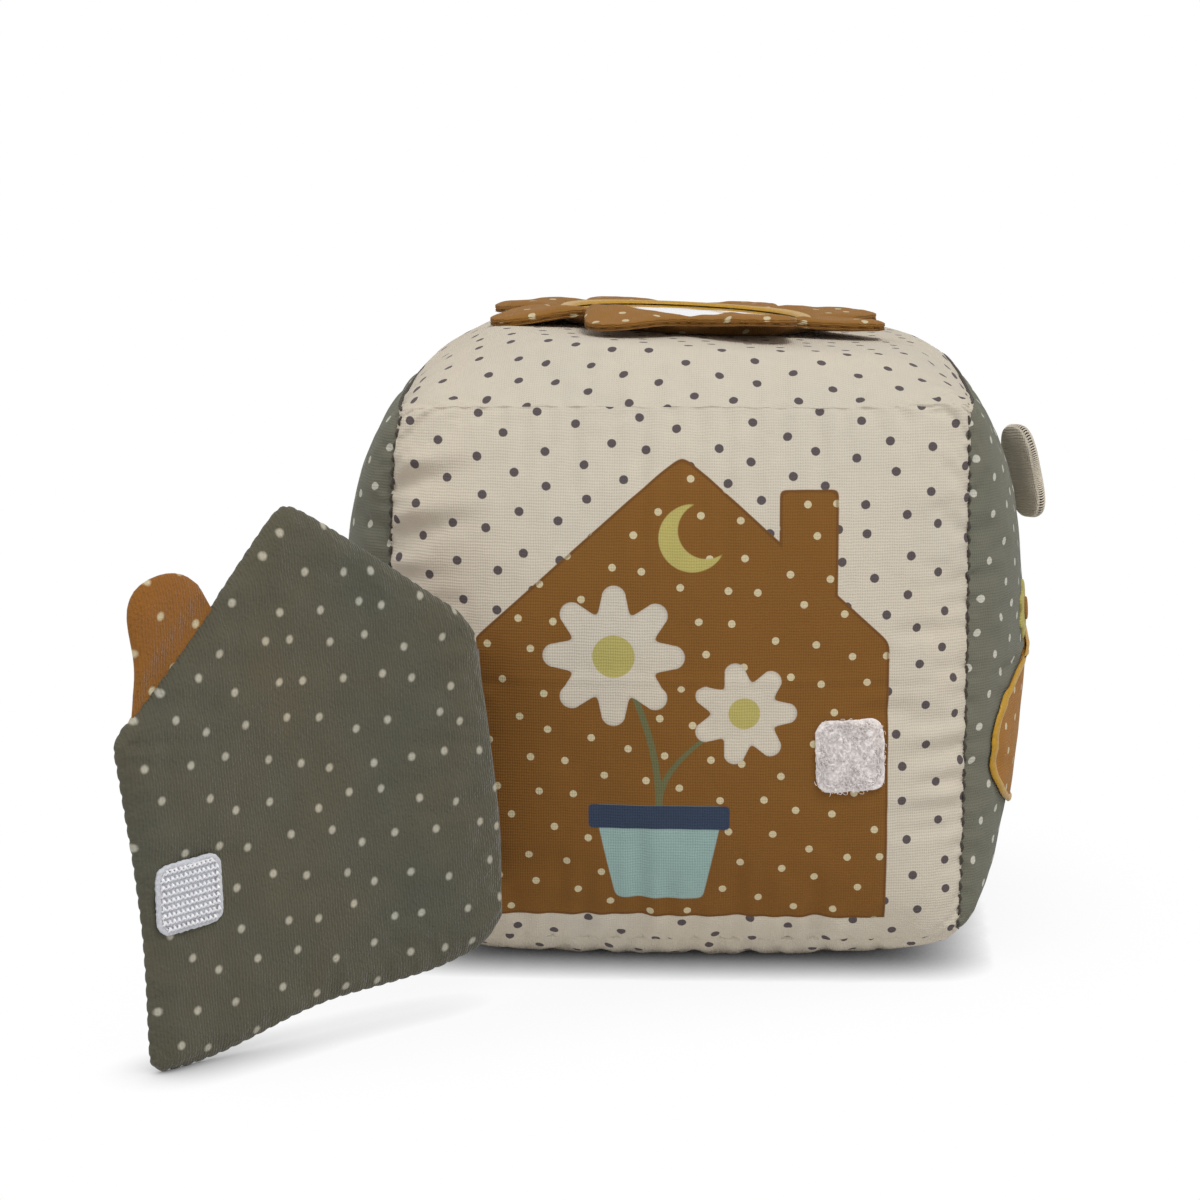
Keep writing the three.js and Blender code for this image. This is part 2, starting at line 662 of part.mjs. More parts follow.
// Leaf tab: two rounded layers over a wadding, hinged on its root
const leaf = new THREE.Group();
const leafSeat = faceSpot(faces.right, leafRootY, leafRootZ);
const leafAbove = faceSpot(faces.right, leafRootY, leafRootZ + leafHalfHeight / 2);
const leafBelow = faceSpot(faces.right, leafRootY, leafRootZ - leafHalfHeight / 2);
const leafAxis = leafAbove.clone().sub(leafBelow).normalize();
const leafOut = new THREE.Vector3(0, 1, 0).cross(leafAxis).normalize();
const halfLeaf = leafThickness / 2;
const leafSag = leafSeat.clone().sub(leafBelow).dot(leafOut);
leaf.position.copy(leafSeat).addScaledVector(leafOut, halfLeaf + layerGap + leafSag * 0.5);
const leafRest = leafOut.clone().applyAxisAngle(leafAxis, slope(-leafOpening));
const leafSide = leafAxis.clone().cross(leafRest);
leaf.quaternion.setFromRotationMatrix(new THREE.Matrix4().makeBasis(leafRest, leafSide, leafAxis));
rattleCube.add(leaf);
const leafMiddle = leafLength / 2 - halfLeaf;
const leafOutline = roundedBox(leafLength / 2, leafHalfHeight, 2.8);
const leafPlace = (spot) => new THREE.Vector3(spot.x + leafMiddle, spot.z, spot.y);
const leafRim = (share, out, height) => edge(leafOutline, share, out, height);
function leafLayer(side) {
  return [
    middle(side * halfLeaf),
    leafRim(0.5, 0, side * halfLeaf),
    leafRim(1, -halfLeaf, side * halfLeaf),
    leafRim(1, -halfLeaf * 0.3, side * halfLeaf * 0.7),
    leafRim(1, 0, (side * layerGap) / 2),
    leafRim(1, -leafFabric, (side * layerGap) / 2),
    leafRim(1, -leafFabric - halfLeaf, side * (halfLeaf - leafFabric)),
    leafRim(0.4, 0, side * (halfLeaf - leafFabric)),
    middle(side * (halfLeaf - leafFabric)),
  ];
}
add("leaf_face", ringSolid(leafLayer(1), 24, leafPlace), cream, leaf);
add("leaf_back", ringSolid(leafLayer(-1), 24, leafPlace), cream, leaf);
const leafPad = halfLeaf - leafFabric - layerGap;
const leafPadSections = [
  middle(leafPad),
  leafRim(1, -leafFabric - halfLeaf - layerGap, leafPad),
  leafRim(1, -leafFabric - halfLeaf - layerGap, -leafPad),
  middle(-leafPad),
];
add("leaf_wadding", ringSolid(leafPadSections, 24, leafPlace), fibre, leaf);

export default rattleCube;
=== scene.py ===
# Soft rattle cube: a stuffed cover of six panels, a padded house door, a sun with a mirror,
# a leaf tab and a flower pot sewn on the right side. Metres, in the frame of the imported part.
import bpy
import bmesh
import itertools
import json
import math
import numpy as np
from mathutils import Matrix, Vector


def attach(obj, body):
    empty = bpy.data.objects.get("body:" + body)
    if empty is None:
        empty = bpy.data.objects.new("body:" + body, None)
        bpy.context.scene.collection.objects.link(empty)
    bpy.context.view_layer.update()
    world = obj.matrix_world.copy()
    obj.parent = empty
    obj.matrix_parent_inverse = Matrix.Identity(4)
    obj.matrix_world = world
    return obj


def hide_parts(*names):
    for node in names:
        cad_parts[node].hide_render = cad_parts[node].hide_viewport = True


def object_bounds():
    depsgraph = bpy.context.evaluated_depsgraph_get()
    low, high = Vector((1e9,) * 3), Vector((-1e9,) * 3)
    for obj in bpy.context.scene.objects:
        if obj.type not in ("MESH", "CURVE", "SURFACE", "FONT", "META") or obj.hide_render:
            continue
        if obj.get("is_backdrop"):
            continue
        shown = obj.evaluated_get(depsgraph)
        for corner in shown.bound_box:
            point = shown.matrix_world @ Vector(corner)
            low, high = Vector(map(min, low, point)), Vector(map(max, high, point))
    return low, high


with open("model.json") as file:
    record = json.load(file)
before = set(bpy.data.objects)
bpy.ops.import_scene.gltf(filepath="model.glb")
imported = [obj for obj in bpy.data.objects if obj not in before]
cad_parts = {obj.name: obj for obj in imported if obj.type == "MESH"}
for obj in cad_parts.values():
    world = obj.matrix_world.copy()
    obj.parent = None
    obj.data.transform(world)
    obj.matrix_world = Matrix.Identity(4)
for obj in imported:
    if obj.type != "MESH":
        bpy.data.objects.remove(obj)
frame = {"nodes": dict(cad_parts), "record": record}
cadBox = [list(corner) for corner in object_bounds()]
print("frame loaded,", len(frame["nodes"]), "nodes")

mm = 0.001


def unit(vectors):
    return vectors / np.maximum(np.linalg.norm(vectors, axis=-1, keepdims=True), 1e-12)


def smoothStep(low, high, value):
    share = np.clip((value - low) / (high - low), 0, 1)
    return share * share * (3 - 2 * share)


def lineNoise(values, seed, table=512):
    # smooth noise along a line, about one swing for each whole number, from -1 to 1
    heights = np.random.default_rng(seed).uniform(-1, 1, table)
    cell = np.floor(values).astype(int)
    share = values - cell
    share = share * share * (3 - 2 * share)
    return heights[cell % table] * (1 - share) + heights[(cell + 1) % table] * share


def sheetNoise(u, v, seed, table=64):
    # the same over a surface
    heights = np.random.default_rng(seed).uniform(-1, 1, (table, table))
    cellU, cellV = np.floor(u).astype(int), np.floor(v).astype(int)
    shareU, shareV = u - cellU, v - cellV
    shareU = shareU * shareU * (3 - 2 * shareU)
    shareV = shareV * shareV * (3 - 2 * shareV)
    corner = lambda a, b: heights[(cellU + a) % table, (cellV + b) % table]
    near = corner(0, 0) * (1 - shareU) + corner(1, 0) * shareU
    far = corner(0, 1) * (1 - shareU) + corner(1, 1) * shareU
    return near * (1 - shareV) + far * shareV


def bell(*offsets):
    return np.exp(-sum(offset ** 2 for offset in offsets))


def quarterRound(share):
    return np.sqrt(1 - (1 - np.clip(share, 0, 1)) ** 2)


def lengthsAlong(line):
    return np.concatenate([[0], np.cumsum(np.linalg.norm(np.diff(line, axis=0), axis=1))])


# Mesh helpers

def flatSlab(across, along):
    # a closed flat slab: x and y from -1 to 1, its outer side at z 0 and its inner side at z -1
    bm = bmesh.new()
    bmesh.ops.create_grid(bm, x_segments=across, y_segments=along, size=1)
    bmesh.ops.solidify(bm, geom=bm.faces[:], thickness=1)
    for vert in bm.verts:
        vert.co.z = -1 if abs(vert.co.z) > 0.5 else 0
    return bm


def getPoints(mesh):
    flat = np.empty(len(mesh.vertices) * 3)
    mesh.vertices.foreach_get("co", flat)
    return flat.reshape(-1, 3)


def setPoints(mesh, points):
    mesh.vertices.foreach_set("co", np.asarray(points, np.float32).ravel())
    mesh.update()


def setUv(mesh, uv):
    layer = mesh.uv_layers.new(name="fabric")
    corners = np.empty(len(mesh.loops), np.int32)
    mesh.loops.foreach_get("vertex_index", corners)
    layer.uv.foreach_set("vector", np.asarray(uv, np.float32)[corners].ravel())


def makeObject(bm, name):
    mesh = bpy.data.meshes.new(name)
    bm.to_mesh(mesh)
    bm.free()
    piece = bpy.data.objects.new(name, mesh)
    bpy.context.scene.collection.objects.link(piece)
    return piece


def shapePiece(bm, name, place, fabric=None):
    # moves every vertex of a flat form to its place, keeps its flat place as the fabric's own UV,
    # welds what closes on itself and turns the faces out
    piece = makeObject(bm, name)
    flat = getPoints(piece.data)
    points = place(flat)
    setPoints(piece.data, points)
    setUv(piece.data, flat[:, :2] if fabric is None else fabric(flat))
    bm = bmesh.new()
    bm.from_mesh(piece.data)
    bmesh.ops.remove_doubles(bm, verts=bm.verts[:], dist=1e-6)
    bmesh.ops.recalc_face_normals(bm, faces=bm.faces[:])
    bm.to_mesh(piece.data)
    bm.free()
    return piece


def finishPiece(piece, material, body="root", nodes=()):
    piece.data.materials.clear()
    piece.data.materials.append(material)
    piece.data.shade_smooth()
    piece.data.set_sharp_from_angle(angle=math.radians(50))
    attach(piece, body)
    if nodes:
        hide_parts(*nodes)


# Shader helpers

class Value:
    # a node's output, with the usual arithmetic done by more nodes
    def __init__(self, socket):
        self.socket = socket
        self.tree = socket.id_data

    def out(self, name):
        # another output of the same node
        return Value(self.socket.node.outputs[name])

    def __add__(self, other):
        return maths("ADD", self, other)

    def __radd__(self, other):
        return maths("ADD", other, self)

    def __sub__(self, other):
        return maths("SUBTRACT", self, other)

    def __rsub__(self, other):
        return maths("SUBTRACT", other, self)

    def __mul__(self, other):
        return maths("MULTIPLY", self, other)

    def __rmul__(self, other):
        return maths("MULTIPLY", other, self)

    def __truediv__(self, other):
        return maths("DIVIDE", self, other)

    def __rtruediv__(self, other):
        return maths("DIVIDE", other, self)

    def __abs__(self):
        return maths("ABSOLUTE", self)


def feed(socket, value):
    # a node's output is linked to the socket, and anything else is set on it
    if isinstance(value, Value):
        value.tree.links.new(value.socket, socket)
    else:
        socket.default_value = value


def addNode(tree, kind, feeds=None, output=0, **settings):
    node = tree.nodes.new("ShaderNode" + kind)
    for name, value in settings.items():
        setattr(node, name, value)
    for name, value in (feeds or {}).items():
        feed(node.inputs[name], value)
    return Value(node.outputs[output])


def treeOf(values):
    return next(value.tree for value in values if isinstance(value, Value))


def maths(operation, *values):
    return addNode(treeOf(values), "Math", dict(enumerate(values)), operation=operation)


def vectorMaths(operation, *values, output=0):
    return addNode(treeOf(values), "VectorMath", dict(enumerate(values)), output, operation=operation)


def scaled(vector, scale):
    return addNode(vector.tree, "VectorMath", {0: vector, "Scale": scale}, operation="SCALE")


def mixColour(mask, first, second):
    return addNode(mask.tree, "Mix", {0: mask, 6: first, 7: second}, 2, data_type="RGBA")


def stepMask(value, edge, soft):
    # 1 where the value is below the edge, with a soft border
    feeds = {"Value": value, "From Min": edge + soft, "From Max": edge - soft}
    return addNode(value.tree, "MapRange", feeds, clamp=True)


def colour(red, green, blue):
    # a colour read in a picture, 0 to 255, as Blender's linear one
    linear = [((c / 255 + 0.055) / 1.055) ** 2.4 if c > 10 else c / 255 / 12.92 for c in (red, green, blue)]
    return (*linear, 1)


def newGroup(name, inputs, outputs):
    group = bpy.data.node_groups.new(name, "ShaderNodeTree")
    for label, kind, value in inputs:
        socket = group.interface.new_socket(label, in_out="INPUT", socket_type="NodeSocket" + kind)
        if value is not None:
            socket.default_value = value
    for label, kind in outputs:
        group.interface.new_socket(label, in_out="OUTPUT", socket_type="NodeSocket" + kind)
    start = group.nodes.new("NodeGroupInput")
    end = group.nodes.new("NodeGroupOutput")
    return group, {label: Value(start.outputs[label]) for label, kind, value in inputs}, end.inputs


# Printed dots: two interleaved grids of dots, each dot a little off its place
dotGroup, given, results = newGroup(
    "printed dots",
    [("Fabric", "Vector", None), ("Spacing", "Float", 0.008), ("Radius", "Float", 0.001),
     ("Looseness", "Float", 0.3), ("Blur", "Float", 0.12), ("Turn", "Float", 0.4)],
    [("Mask", "Float")],
)
gridCell = (1, math.sqrt(3), 1)
evenPitch = 1.0746  # a grid cell's width over the spacing, for as many dots as a grid of triangles has
rotated = addNode(dotGroup, "VectorRotate", {"Vector": given["Fabric"], "Angle": given["Turn"]},
                  rotation_type="Z_AXIS")
pitch = given["Spacing"] * evenPitch
grid = scaled(rotated, 1.0 / pitch)
distances = []
for shift in (0.0, 0.5):
    place = vectorMaths("ADD", grid, (shift, shift * gridCell[1], 0))
    cell = vectorMaths("FLOOR", vectorMaths("DIVIDE", place, gridCell))
    middle = vectorMaths("MULTIPLY", vectorMaths("ADD", cell, (0.5, 0.5, 0)), gridCell)
    ticket = vectorMaths("ADD", cell, (40 * shift, 3, 0))
    drawn = addNode(dotGroup, "TexWhiteNoise", {"Vector": ticket}, "Color")
    off = scaled(vectorMaths("SUBTRACT", drawn, (0.5, 0.5, 0.5)), given["Looseness"])
    spot = vectorMaths("ADD", middle, off)
    between = vectorMaths("MULTIPLY", vectorMaths("SUBTRACT", place, spot), (1, 1, 0))
    distances.append(vectorMaths("LENGTH", between, output="Value"))
ragged = addNode(dotGroup, "TexNoise", {"Scale": 7.0, "Detail": 2.0, "Vector": grid}, noise_dimensions="2D")
reach = maths("MINIMUM", *distances) * (0.92 + ragged * 0.16)
share = given["Radius"] / pitch
edge = (share - reach) / (share * given["Blur"])
feed(results["Mask"], maths("MINIMUM", maths("MAXIMUM", edge, 0.0), 1.0))

# Plain weave: warp and weft threads that pass over and under each other
weaveGroup, given, results = newGroup(
    "plain weave",
    [("Fabric", "Vector", None), ("Pitch", "Float", 0.00053), ("Unevenness", "Float", 0.6)],
    [("Height", "Float"), ("Tint", "Float")],
)
slub = addNode(weaveGroup, "TexNoise", {"Scale": 260.0, "Detail": 3.0, "Vector": given["Fabric"]},
               noise_dimensions="2D")
turns = addNode(weaveGroup, "SeparateXYZ", {0: scaled(given["Fabric"], 2 * math.pi / given["Pitch"])})
stray = slub * 5.0
warp = maths("SINE", turns + stray)
weft = maths("SINE", turns.out(1) * 0.8 + stray)
over = (warp * 0.4 + weft * 0.45) * 0.5
wobble = (slub - 0.5) * given["Unevenness"]
feed(results["Height"], over + wobble)
feed(results["Tint"], over + wobble * 2.0)

# Knitted velour: fine ribs with a short uneven pile
velourGroup, given, results = newGroup(
    "ribbed velour",
    [("Fabric", "Vector", None), ("Rib", "Float", 0.0007), ("Pile", "Float", 0.55)],
    [("Height", "Float"), ("Tint", "Float")],
)
fluff, lean = (addNode(velourGroup, "TexNoise", {"Scale": scale, "Detail": 3.0, "Vector": given["Fabric"]},
                       noise_dimensions="2D") for scale in (1300.0, 130.0))
alongRow = addNode(velourGroup, "SeparateXYZ", {0: given["Fabric"]})
ribs = maths("SINE", (alongRow + lean * 0.0009) / given["Rib"] * (2 * math.pi))
pile = (fluff - 0.5) * given["Pile"]
patchy = (lean - 0.5) * 1.2
feed(results["Height"], ribs * 0.16 + pile * 2.0)
feed(results["Tint"], ribs * 0.12 + (pile * 1.6 + patchy))

# Handling: faint broad changes of shade, as on cloth that has been washed and squeezed
handledGroup, given, results = newGroup(
    "handled cloth",
    [("Place", "Vector", None), ("Colour", "Color", (1, 1, 1, 1)), ("Tint", "Float", 0.0),
     ("Amount", "Float", 0.08), ("Drift", "Float", 0.08)],
    [("Colour", "Color")],
)
broad = addNode(handledGroup, "TexNoise", {"Scale": 28.0, "Detail": 4.0, "Vector": given["Place"]}) - 0.5
brightness = 1.0 + (broad * 0.12 + given["Tint"] * given["Amount"])
warmer = broad * given["Drift"]
warmTone = addNode(handledGroup, "CombineXYZ", {"X": 1.0 + warmer, "Y": 1.0, "Z": 1.0 - warmer})
feed(results["Colour"], scaled(vectorMaths("MULTIPLY", given["Colour"], warmTone), brightness))


def newMaterial(name, roughness=0.9, sheen=0.0, metallic=0.0, specular=0.3):
    material = bpy.data.materials.new(name)
    material.use_nodes = True
    shader = material.node_tree.nodes["Principled BSDF"]
    shader.inputs["Roughness"].default_value = roughness
    shader.inputs["Sheen Weight"].default_value = sheen
    shader.inputs["Sheen Roughness"].default_value = 0.4
    shader.inputs["Metallic"].default_value = metallic
    shader.inputs["Specular IOR Level"].default_value = specular
    return material, material.node_tree, shader


def colourAndBump(shader, tone, height, distance, strength=1.0):
    feed(shader.inputs["Base Color"], tone)
    bump = {"Strength": strength, "Distance": distance, "Height": height}
    feed(shader.inputs["Normal"], addNode(tone.tree, "Bump", bump))


def handled(tree, **feeds):
    # the handled cloth's colour, by the piece's own place
    feeds = {"Place": addNode(tree, "TexCoord", output="Object"), **feeds}
    return addNode(tree, "Group", feeds, node_tree=handledGroup)


def dotMask(fabric, shape):
    return addNode(fabric.tree, "Group", {"Fabric": fabric, **shape}, node_tree=dotGroup)


def clothMaterial(name, base, dots=None, weave="cotton", amount=0.06, bump=0.00012, sheen=0.05, paint=None):
    # woven cotton or ribbed velour with a printed pattern
    material, tree, shader = newMaterial(name, sheen=sheen)
    fabric = addNode(tree, "UVMap", uv_map="fabric")  # the fabric's own flat place, in metres
    group = weaveGroup if weave == "cotton" else velourGroup
    surface = addNode(tree, "Group", {"Fabric": fabric}, "Height", node_tree=group)
    shown = base
    if dots:
        shown = mixColour(dotMask(fabric, dots[0]), base, palette[dots[1]])
    if paint:
        shown = paint(fabric, shown)
    drift = 0.08 if weave == "cotton" else 0.35
    tone = handled(tree, Colour=shown, Tint=surface.out("Tint"), Amount=amount, Drift=drift)
    colourAndBump(shader, tone, surface, bump)
    return material


palette = {name: colour(*shade) for name, shade in {
    "cream": (205, 195, 178), "creamDots": (88, 79, 80),
    "greyGreen": (110, 109, 95), "greenDots": (196, 194, 180),
    "lining": (87, 84, 69), "liningDots": (180, 175, 158),
    # the appliqué's ochre cotton is the velour's ochre made lighter; that lift is painted light, the sheen
    # and light the right side catches
    "printOchre": (126, 84, 33), "ochreVelour": (140, 91, 34), "ochreCottonPaintedLight": (158, 106, 36),
    "ochreDots": (202, 188, 152), "sun": (145, 101, 44), "gold": (178, 134, 24), "yellow": (180, 168, 98),
    "teal": (150, 176, 170), "navy": (52, 64, 84), "leaf": (104, 104, 70),
    "printLine": (96, 60, 24), "petalEdge": (150, 142, 132),
    # the seam tone is painted shade: the dark of the shadow in the seams' gaps
    "patch": (236, 229, 226), "hook": (238, 238, 241), "hookGround": (200, 201, 207), "seam": (64, 58, 50),
    "mirrorDark": (206, 206, 212), "mirrorLight": (222, 222, 227),
    "capsule": (217, 218, 217), "bead": (107, 143, 161), "fibre": (232, 230, 224),
}.items()}

creamShape = {"Spacing": 0.0080, "Radius": 0.00106, "Turn": 0.38}
greenShape = {"Spacing": 0.0078, "Radius": 0.00096, "Turn": -0.3}
ochreShape = {"Spacing": 0.0080, "Radius": 0.00088, "Turn": 0.2}
velourShape = {"Spacing": 0.0087, "Radius": 0.0011, "Blur": 0.5, "Turn": -0.25, "Looseness": 0.42}

# House print on the front, measured across and up from the panel's middle
house = {
    "middle": -0.4 * mm, "halfWidth": 45.6 * mm, "base": -54.3 * mm, "eaves": 8.6 * mm, "apex": 50.4 * mm,
    "ridgeRound": 1.6 * mm, "ridgeLift": 0.9 * mm, "corner": 2.4 * mm, "line": 0.32 * mm,
    "chimneyMiddle": 27.2 * mm, "chimneyHalf": 6.4 * mm, "chimneyTop": 43.0 * mm,
}
flowers = [  # across, up, radius, petals
    (-15.0 * mm, 6.5 * mm, 15.5 * mm, 8),
    (13.5 * mm, -6.0 * mm, 11.5 * mm, 7),
]
pot = {
    "across": -5.0 * mm, "rimTop": -27.0 * mm, "rimBase": -32.5 * mm, "base": -49.5 * mm,
    "rimHalf": 15.5 * mm, "topHalf": 13.2 * mm, "baseHalf": 9.6 * mm, "stemHalf": 0.75 * mm,
}
moon = {
    "across": 2.0 * mm, "up": 32.5 * mm, "radius": 7.4 * mm,
    "biteAcross": 5.0 * mm, "biteUp": 34.2 * mm, "bite": 6.2 * mm,
}
inkEdge = 0.12 * mm


def paintHouse(fabric, ground):
    across = addNode(fabric.tree, "SeparateXYZ", {0: fabric})
    upwards = across.out(1)

    def reachOf(dx, dy):
        return maths("SQRT", dx * dx + dy * dy)

    def box(x, halfX, low, high, corner):
        sideways = abs(across - x) - halfX
        upright = abs(upwards - (low + high) / 2) - (high - low) / 2
        return maths("SMOOTH_MAX", sideways, upright, corner)

    def inked(shown, shape, tone, soft=inkEdge):
        return mixColour(stepMask(shape, 0.0, soft), shown, palette[tone] if isinstance(tone, str) else tone)

    h = house
    pitch = (h["apex"] - h["eaves"]) / h["halfWidth"]
    fromRidge = maths("SQRT", maths("POWER", across - h["middle"], 2.0) + h["ridgeRound"] ** 2)
    roofLine = (h["apex"] + h["ridgeLift"]) - fromRidge * pitch
    roof = (upwards - roofLine) * math.cos(math.atan(pitch))
    walls = box(h["middle"], h["halfWidth"], h["base"], h["apex"] * 2, h["corner"] / 4)
    chimney = box(h["chimneyMiddle"], h["chimneyHalf"], 0.0, h["chimneyTop"], h["corner"])
    shape = maths("SMOOTH_MIN", maths("SMOOTH_MAX", roof, walls, h["corner"]), chimney, 0.4 * mm)
    paint = mixColour(dotMask(fabric, ochreShape), palette["printOchre"], palette["ochreDots"])
    rim = stepMask(abs(shape + h["line"]), h["line"], 0.15 * mm)
    paint = mixColour(rim * 0.55, paint, palette["printLine"])
    shown = inked(ground, shape, paint, 0.1 * mm)

    # stems run from the pot up to each flower
    for x, y, radius, petals in flowers:
        share = (upwards - pot["rimTop"]) / (y - pot["rimTop"])
        bowed = share * share * (x - pot["across"])
        stem = abs((across - pot["across"]) - bowed) - pot["stemHalf"]
        stem = maths("MAXIMUM", stem, maths("MAXIMUM", pot["rimTop"] - upwards, upwards - y))
        shown = inked(shown, stem, "leaf")
    for x, y, radius, petals in flowers:
        dx, dy = across - x, upwards - y
        reach = reachOf(dx, dy)
        swing = maths("COSINE", maths("ARCTAN2", dy, dx) * float(petals))
        fullness = 0.84 + maths("SQRT", 0.02 + maths("MAXIMUM", swing, 0.0)) * 0.16
        flower = reach - (fullness * radius + maths("MINIMUM", swing, 0.0) * (radius * 0.22))
        soft = stepMask(abs(flower), 0.5 * mm, 0.5 * mm)
        petal = mixColour(soft * 0.35, palette["cream"], palette["petalEdge"])
        shown = inked(shown, flower, petal)
        shown = inked(shown, reach - radius * 0.3, "yellow")

    # pot with a darker rim
    fall = (upwards - pot["base"]) / (pot["rimBase"] - pot["base"])
    halfPot = pot["baseHalf"] + fall * (pot["topHalf"] - pot["baseHalf"])
    potSide = abs(across - pot["across"]) - halfPot
    potEnds = abs(upwards - (pot["base"] + pot["rimTop"]) / 2) - (pot["rimTop"] - pot["base"]) / 2
    shown = inked(shown, maths("SMOOTH_MAX", potSide, potEnds, 2.5 * mm), "teal")
    shown = inked(shown, box(pot["across"], pot["rimHalf"], pot["rimBase"], pot["rimTop"], 1.6 * mm), "navy")

    # moon under the roof
    disc = reachOf(across - moon["across"], upwards - moon["up"]) - moon["radius"]
    bite = moon["bite"] - reachOf(across - moon["biteAcross"], upwards - moon["biteUp"])
    return inked(shown, maths("SMOOTH_MAX", disc, bite, 0.8 * mm), "yellow")


def cottonMaterial(name, tone, dots=None, **finish):
    return clothMaterial(name, palette[tone], dots, **finish)


def velourMaterial(name, tone, dots):
    return clothMaterial(name, palette[tone], (velourShape, dots), "velour", 0.2, 0.0003, 0.25)


frontCotton = cottonMaterial("front cotton", "cream", (creamShape, "creamDots"), paint=paintHouse)
creamCotton = cottonMaterial("cream cotton", "cream", (creamShape, "creamDots"))
greenCotton = cottonMaterial("grey green cotton", "greyGreen", (greenShape, "greenDots"))
liningVelour = velourMaterial("lining velour", "lining", "liningDots")
ochreVelour = velourMaterial("ochre velour", "ochreVelour", "ochreDots")
# the pot appliqué's material; its lighter ochre is partly painted light from the right side
ochreCottonPaintedLight = cottonMaterial("ochre cotton with painted light", "ochreCottonPaintedLight", (ochreShape, "ochreDots"))
sunCotton = cottonMaterial("sun cotton", "sun", (ochreShape, "ochreDots"))
plainSun = cottonMaterial("flower middle cotton", "sun")
yellowCotton = cottonMaterial("yellow cotton", "yellow")
creamPlush = cottonMaterial("cream plush", "cream", amount=0.1, bump=0.0002, sheen=0.3)


def grainMaterial(name, tone, grain, amount, bump, strength=1.0, **finish):
    # an even colour whose shade and surface change with a fine grain
    material, tree, shader = newMaterial(name, **finish)
    noise = addNode(tree, "TexNoise", {"Vector": addNode(tree, "TexCoord", output="Object"), **grain})
    shade = handled(tree, Colour=palette[tone], Tint=noise - 0.5, Amount=amount)
    colourAndBump(shader, shade, noise, bump, strength)
    return material


def threadMaterial(name, tone, roughness):
    strands = {"Scale": 1800.0, "Detail": 2.0}
    return grainMaterial(name, tone, strands, 0.7, 0.00008, roughness=roughness, sheen=0.1, specular=0.4)


def plasticMaterial(name, tone, roughness):
    flow = {"Scale": 90.0, "Detail": 3.0}
    return grainMaterial(name, tone, flow, 0.15, 0.0002, 0.4, roughness=roughness, specular=0.5)


def mirrorMaterial(name):
    material, tree, shader = newMaterial(name, 0.06, metallic=1.0)
    place = addNode(tree, "TexCoord", output="Object")
    ripple = addNode(tree, "TexNoise", {"Scale": 45.0, "Detail": 2.0, "Vector": place})
    tone = mixColour(ripple, palette["mirrorDark"], palette["mirrorLight"])
    colourAndBump(shader, tone, ripple, 0.0008, 0.5)
    return material


goldThread = threadMaterial("gold satin thread", "gold", 0.45)
whiteThread = threadMaterial("white thread", "patch", 0.7)
creamThread = threadMaterial("cream thread", "cream", 0.8)
loopFuzz = threadMaterial("nylon loops", "patch", 0.75)
hookNylon = threadMaterial("nylon hooks", "hook", 0.5)
hookTape = threadMaterial("hook tape ground", "hookGround", 0.7)
# dark thread for the seams, its colour painted shade for the shadow in their gaps
seamShadowThread = threadMaterial("seam shadow thread", "seam", 0.8)
mirrorSheet = mirrorMaterial("mirror sheet")
capsulePlastic = plasticMaterial("capsule plastic", "capsule", 0.4)
beadPlastic = plasticMaterial("bead plastic", "bead", 0.3)
fibreFilling = grainMaterial("fibre filling", "fibre", {"Scale": 420.0, "Detail": 6.0, "Distortion": 2.0},
                             0.3, 0.0008, sheen=0.3)
print("materials made,", len(bpy.data.materials))

# Cover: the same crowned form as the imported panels, with its folds and stitching
cover = {
    "half": np.array([62, 62, 58.7]) * mm, "middle": 67.2 * mm, "bow": 1.4 * mm, "bowFullness": 0.25,
    "leftSwell": 17.0 * mm, "rightSwell": 16.0 * mm, "frontSwell": 11.5 * mm, "topSwell": 22 * mm,
    "bottomSwell": 12.3 * mm, "fullness": 0.52, "sideFullness": 0.4, "topFullness": 0.84,
    "softEdge": 3.0, "firmEdge": 3.3, "shoulder": 2.0 * mm, "pull": 2.3 * mm, "sag": 1.8 * mm,
    "cornerLift": 1.8 * mm, "drawnReach": 0.3, "cornerReach": 0.25,
    "seat": 137.7 * mm, "seatMiddle": (-1 * mm, 8 * mm), "seatLean": (-0.045, -0.021), "seatRound": 1.2 * mm,
    "thickness": 0.6 * mm, "steps": 200, "clothCells": 64, "spare": 0.06, "wrinkle": 1.1 * mm,
    "stitch": 2.9 * mm, "bite": 0.4 * mm, "biteReach": 1.3 * mm, "roll": 1.3 * mm, "rollReach": 2.0 * mm,
    "puckers": 13, "puckerSpan": 52 * mm,
}
sides = {
    "front": {"out": (0, -1, 0), "across": (1, 0, 0), "along": (0, 0, 1)},
    "back": {"out": (0, 1, 0), "across": (-1, 0, 0), "along": (0, 0, 1)},
    "left": {"out": (-1, 0, 0), "across": (0, -1, 0), "along": (0, 0, 1)},
    "right": {"out": (1, 0, 0), "across": (0, 1, 0), "along": (0, 0, 1)},
    "top": {"out": (0, 0, 1), "across": (1, 0, 0), "along": (0, 1, 0)},
    "bottom": {"out": (0, 0, -1), "across": (1, 0, 0), "along": (0, -1, 0)},
}


def fullAt(share, fullness, rest=0.002):
    return (np.maximum(0, 1 - share ** 2) + rest) ** fullness - rest ** fullness


def softAt(share, power):
    return 1 - np.minimum(np.abs(share), 1) ** power


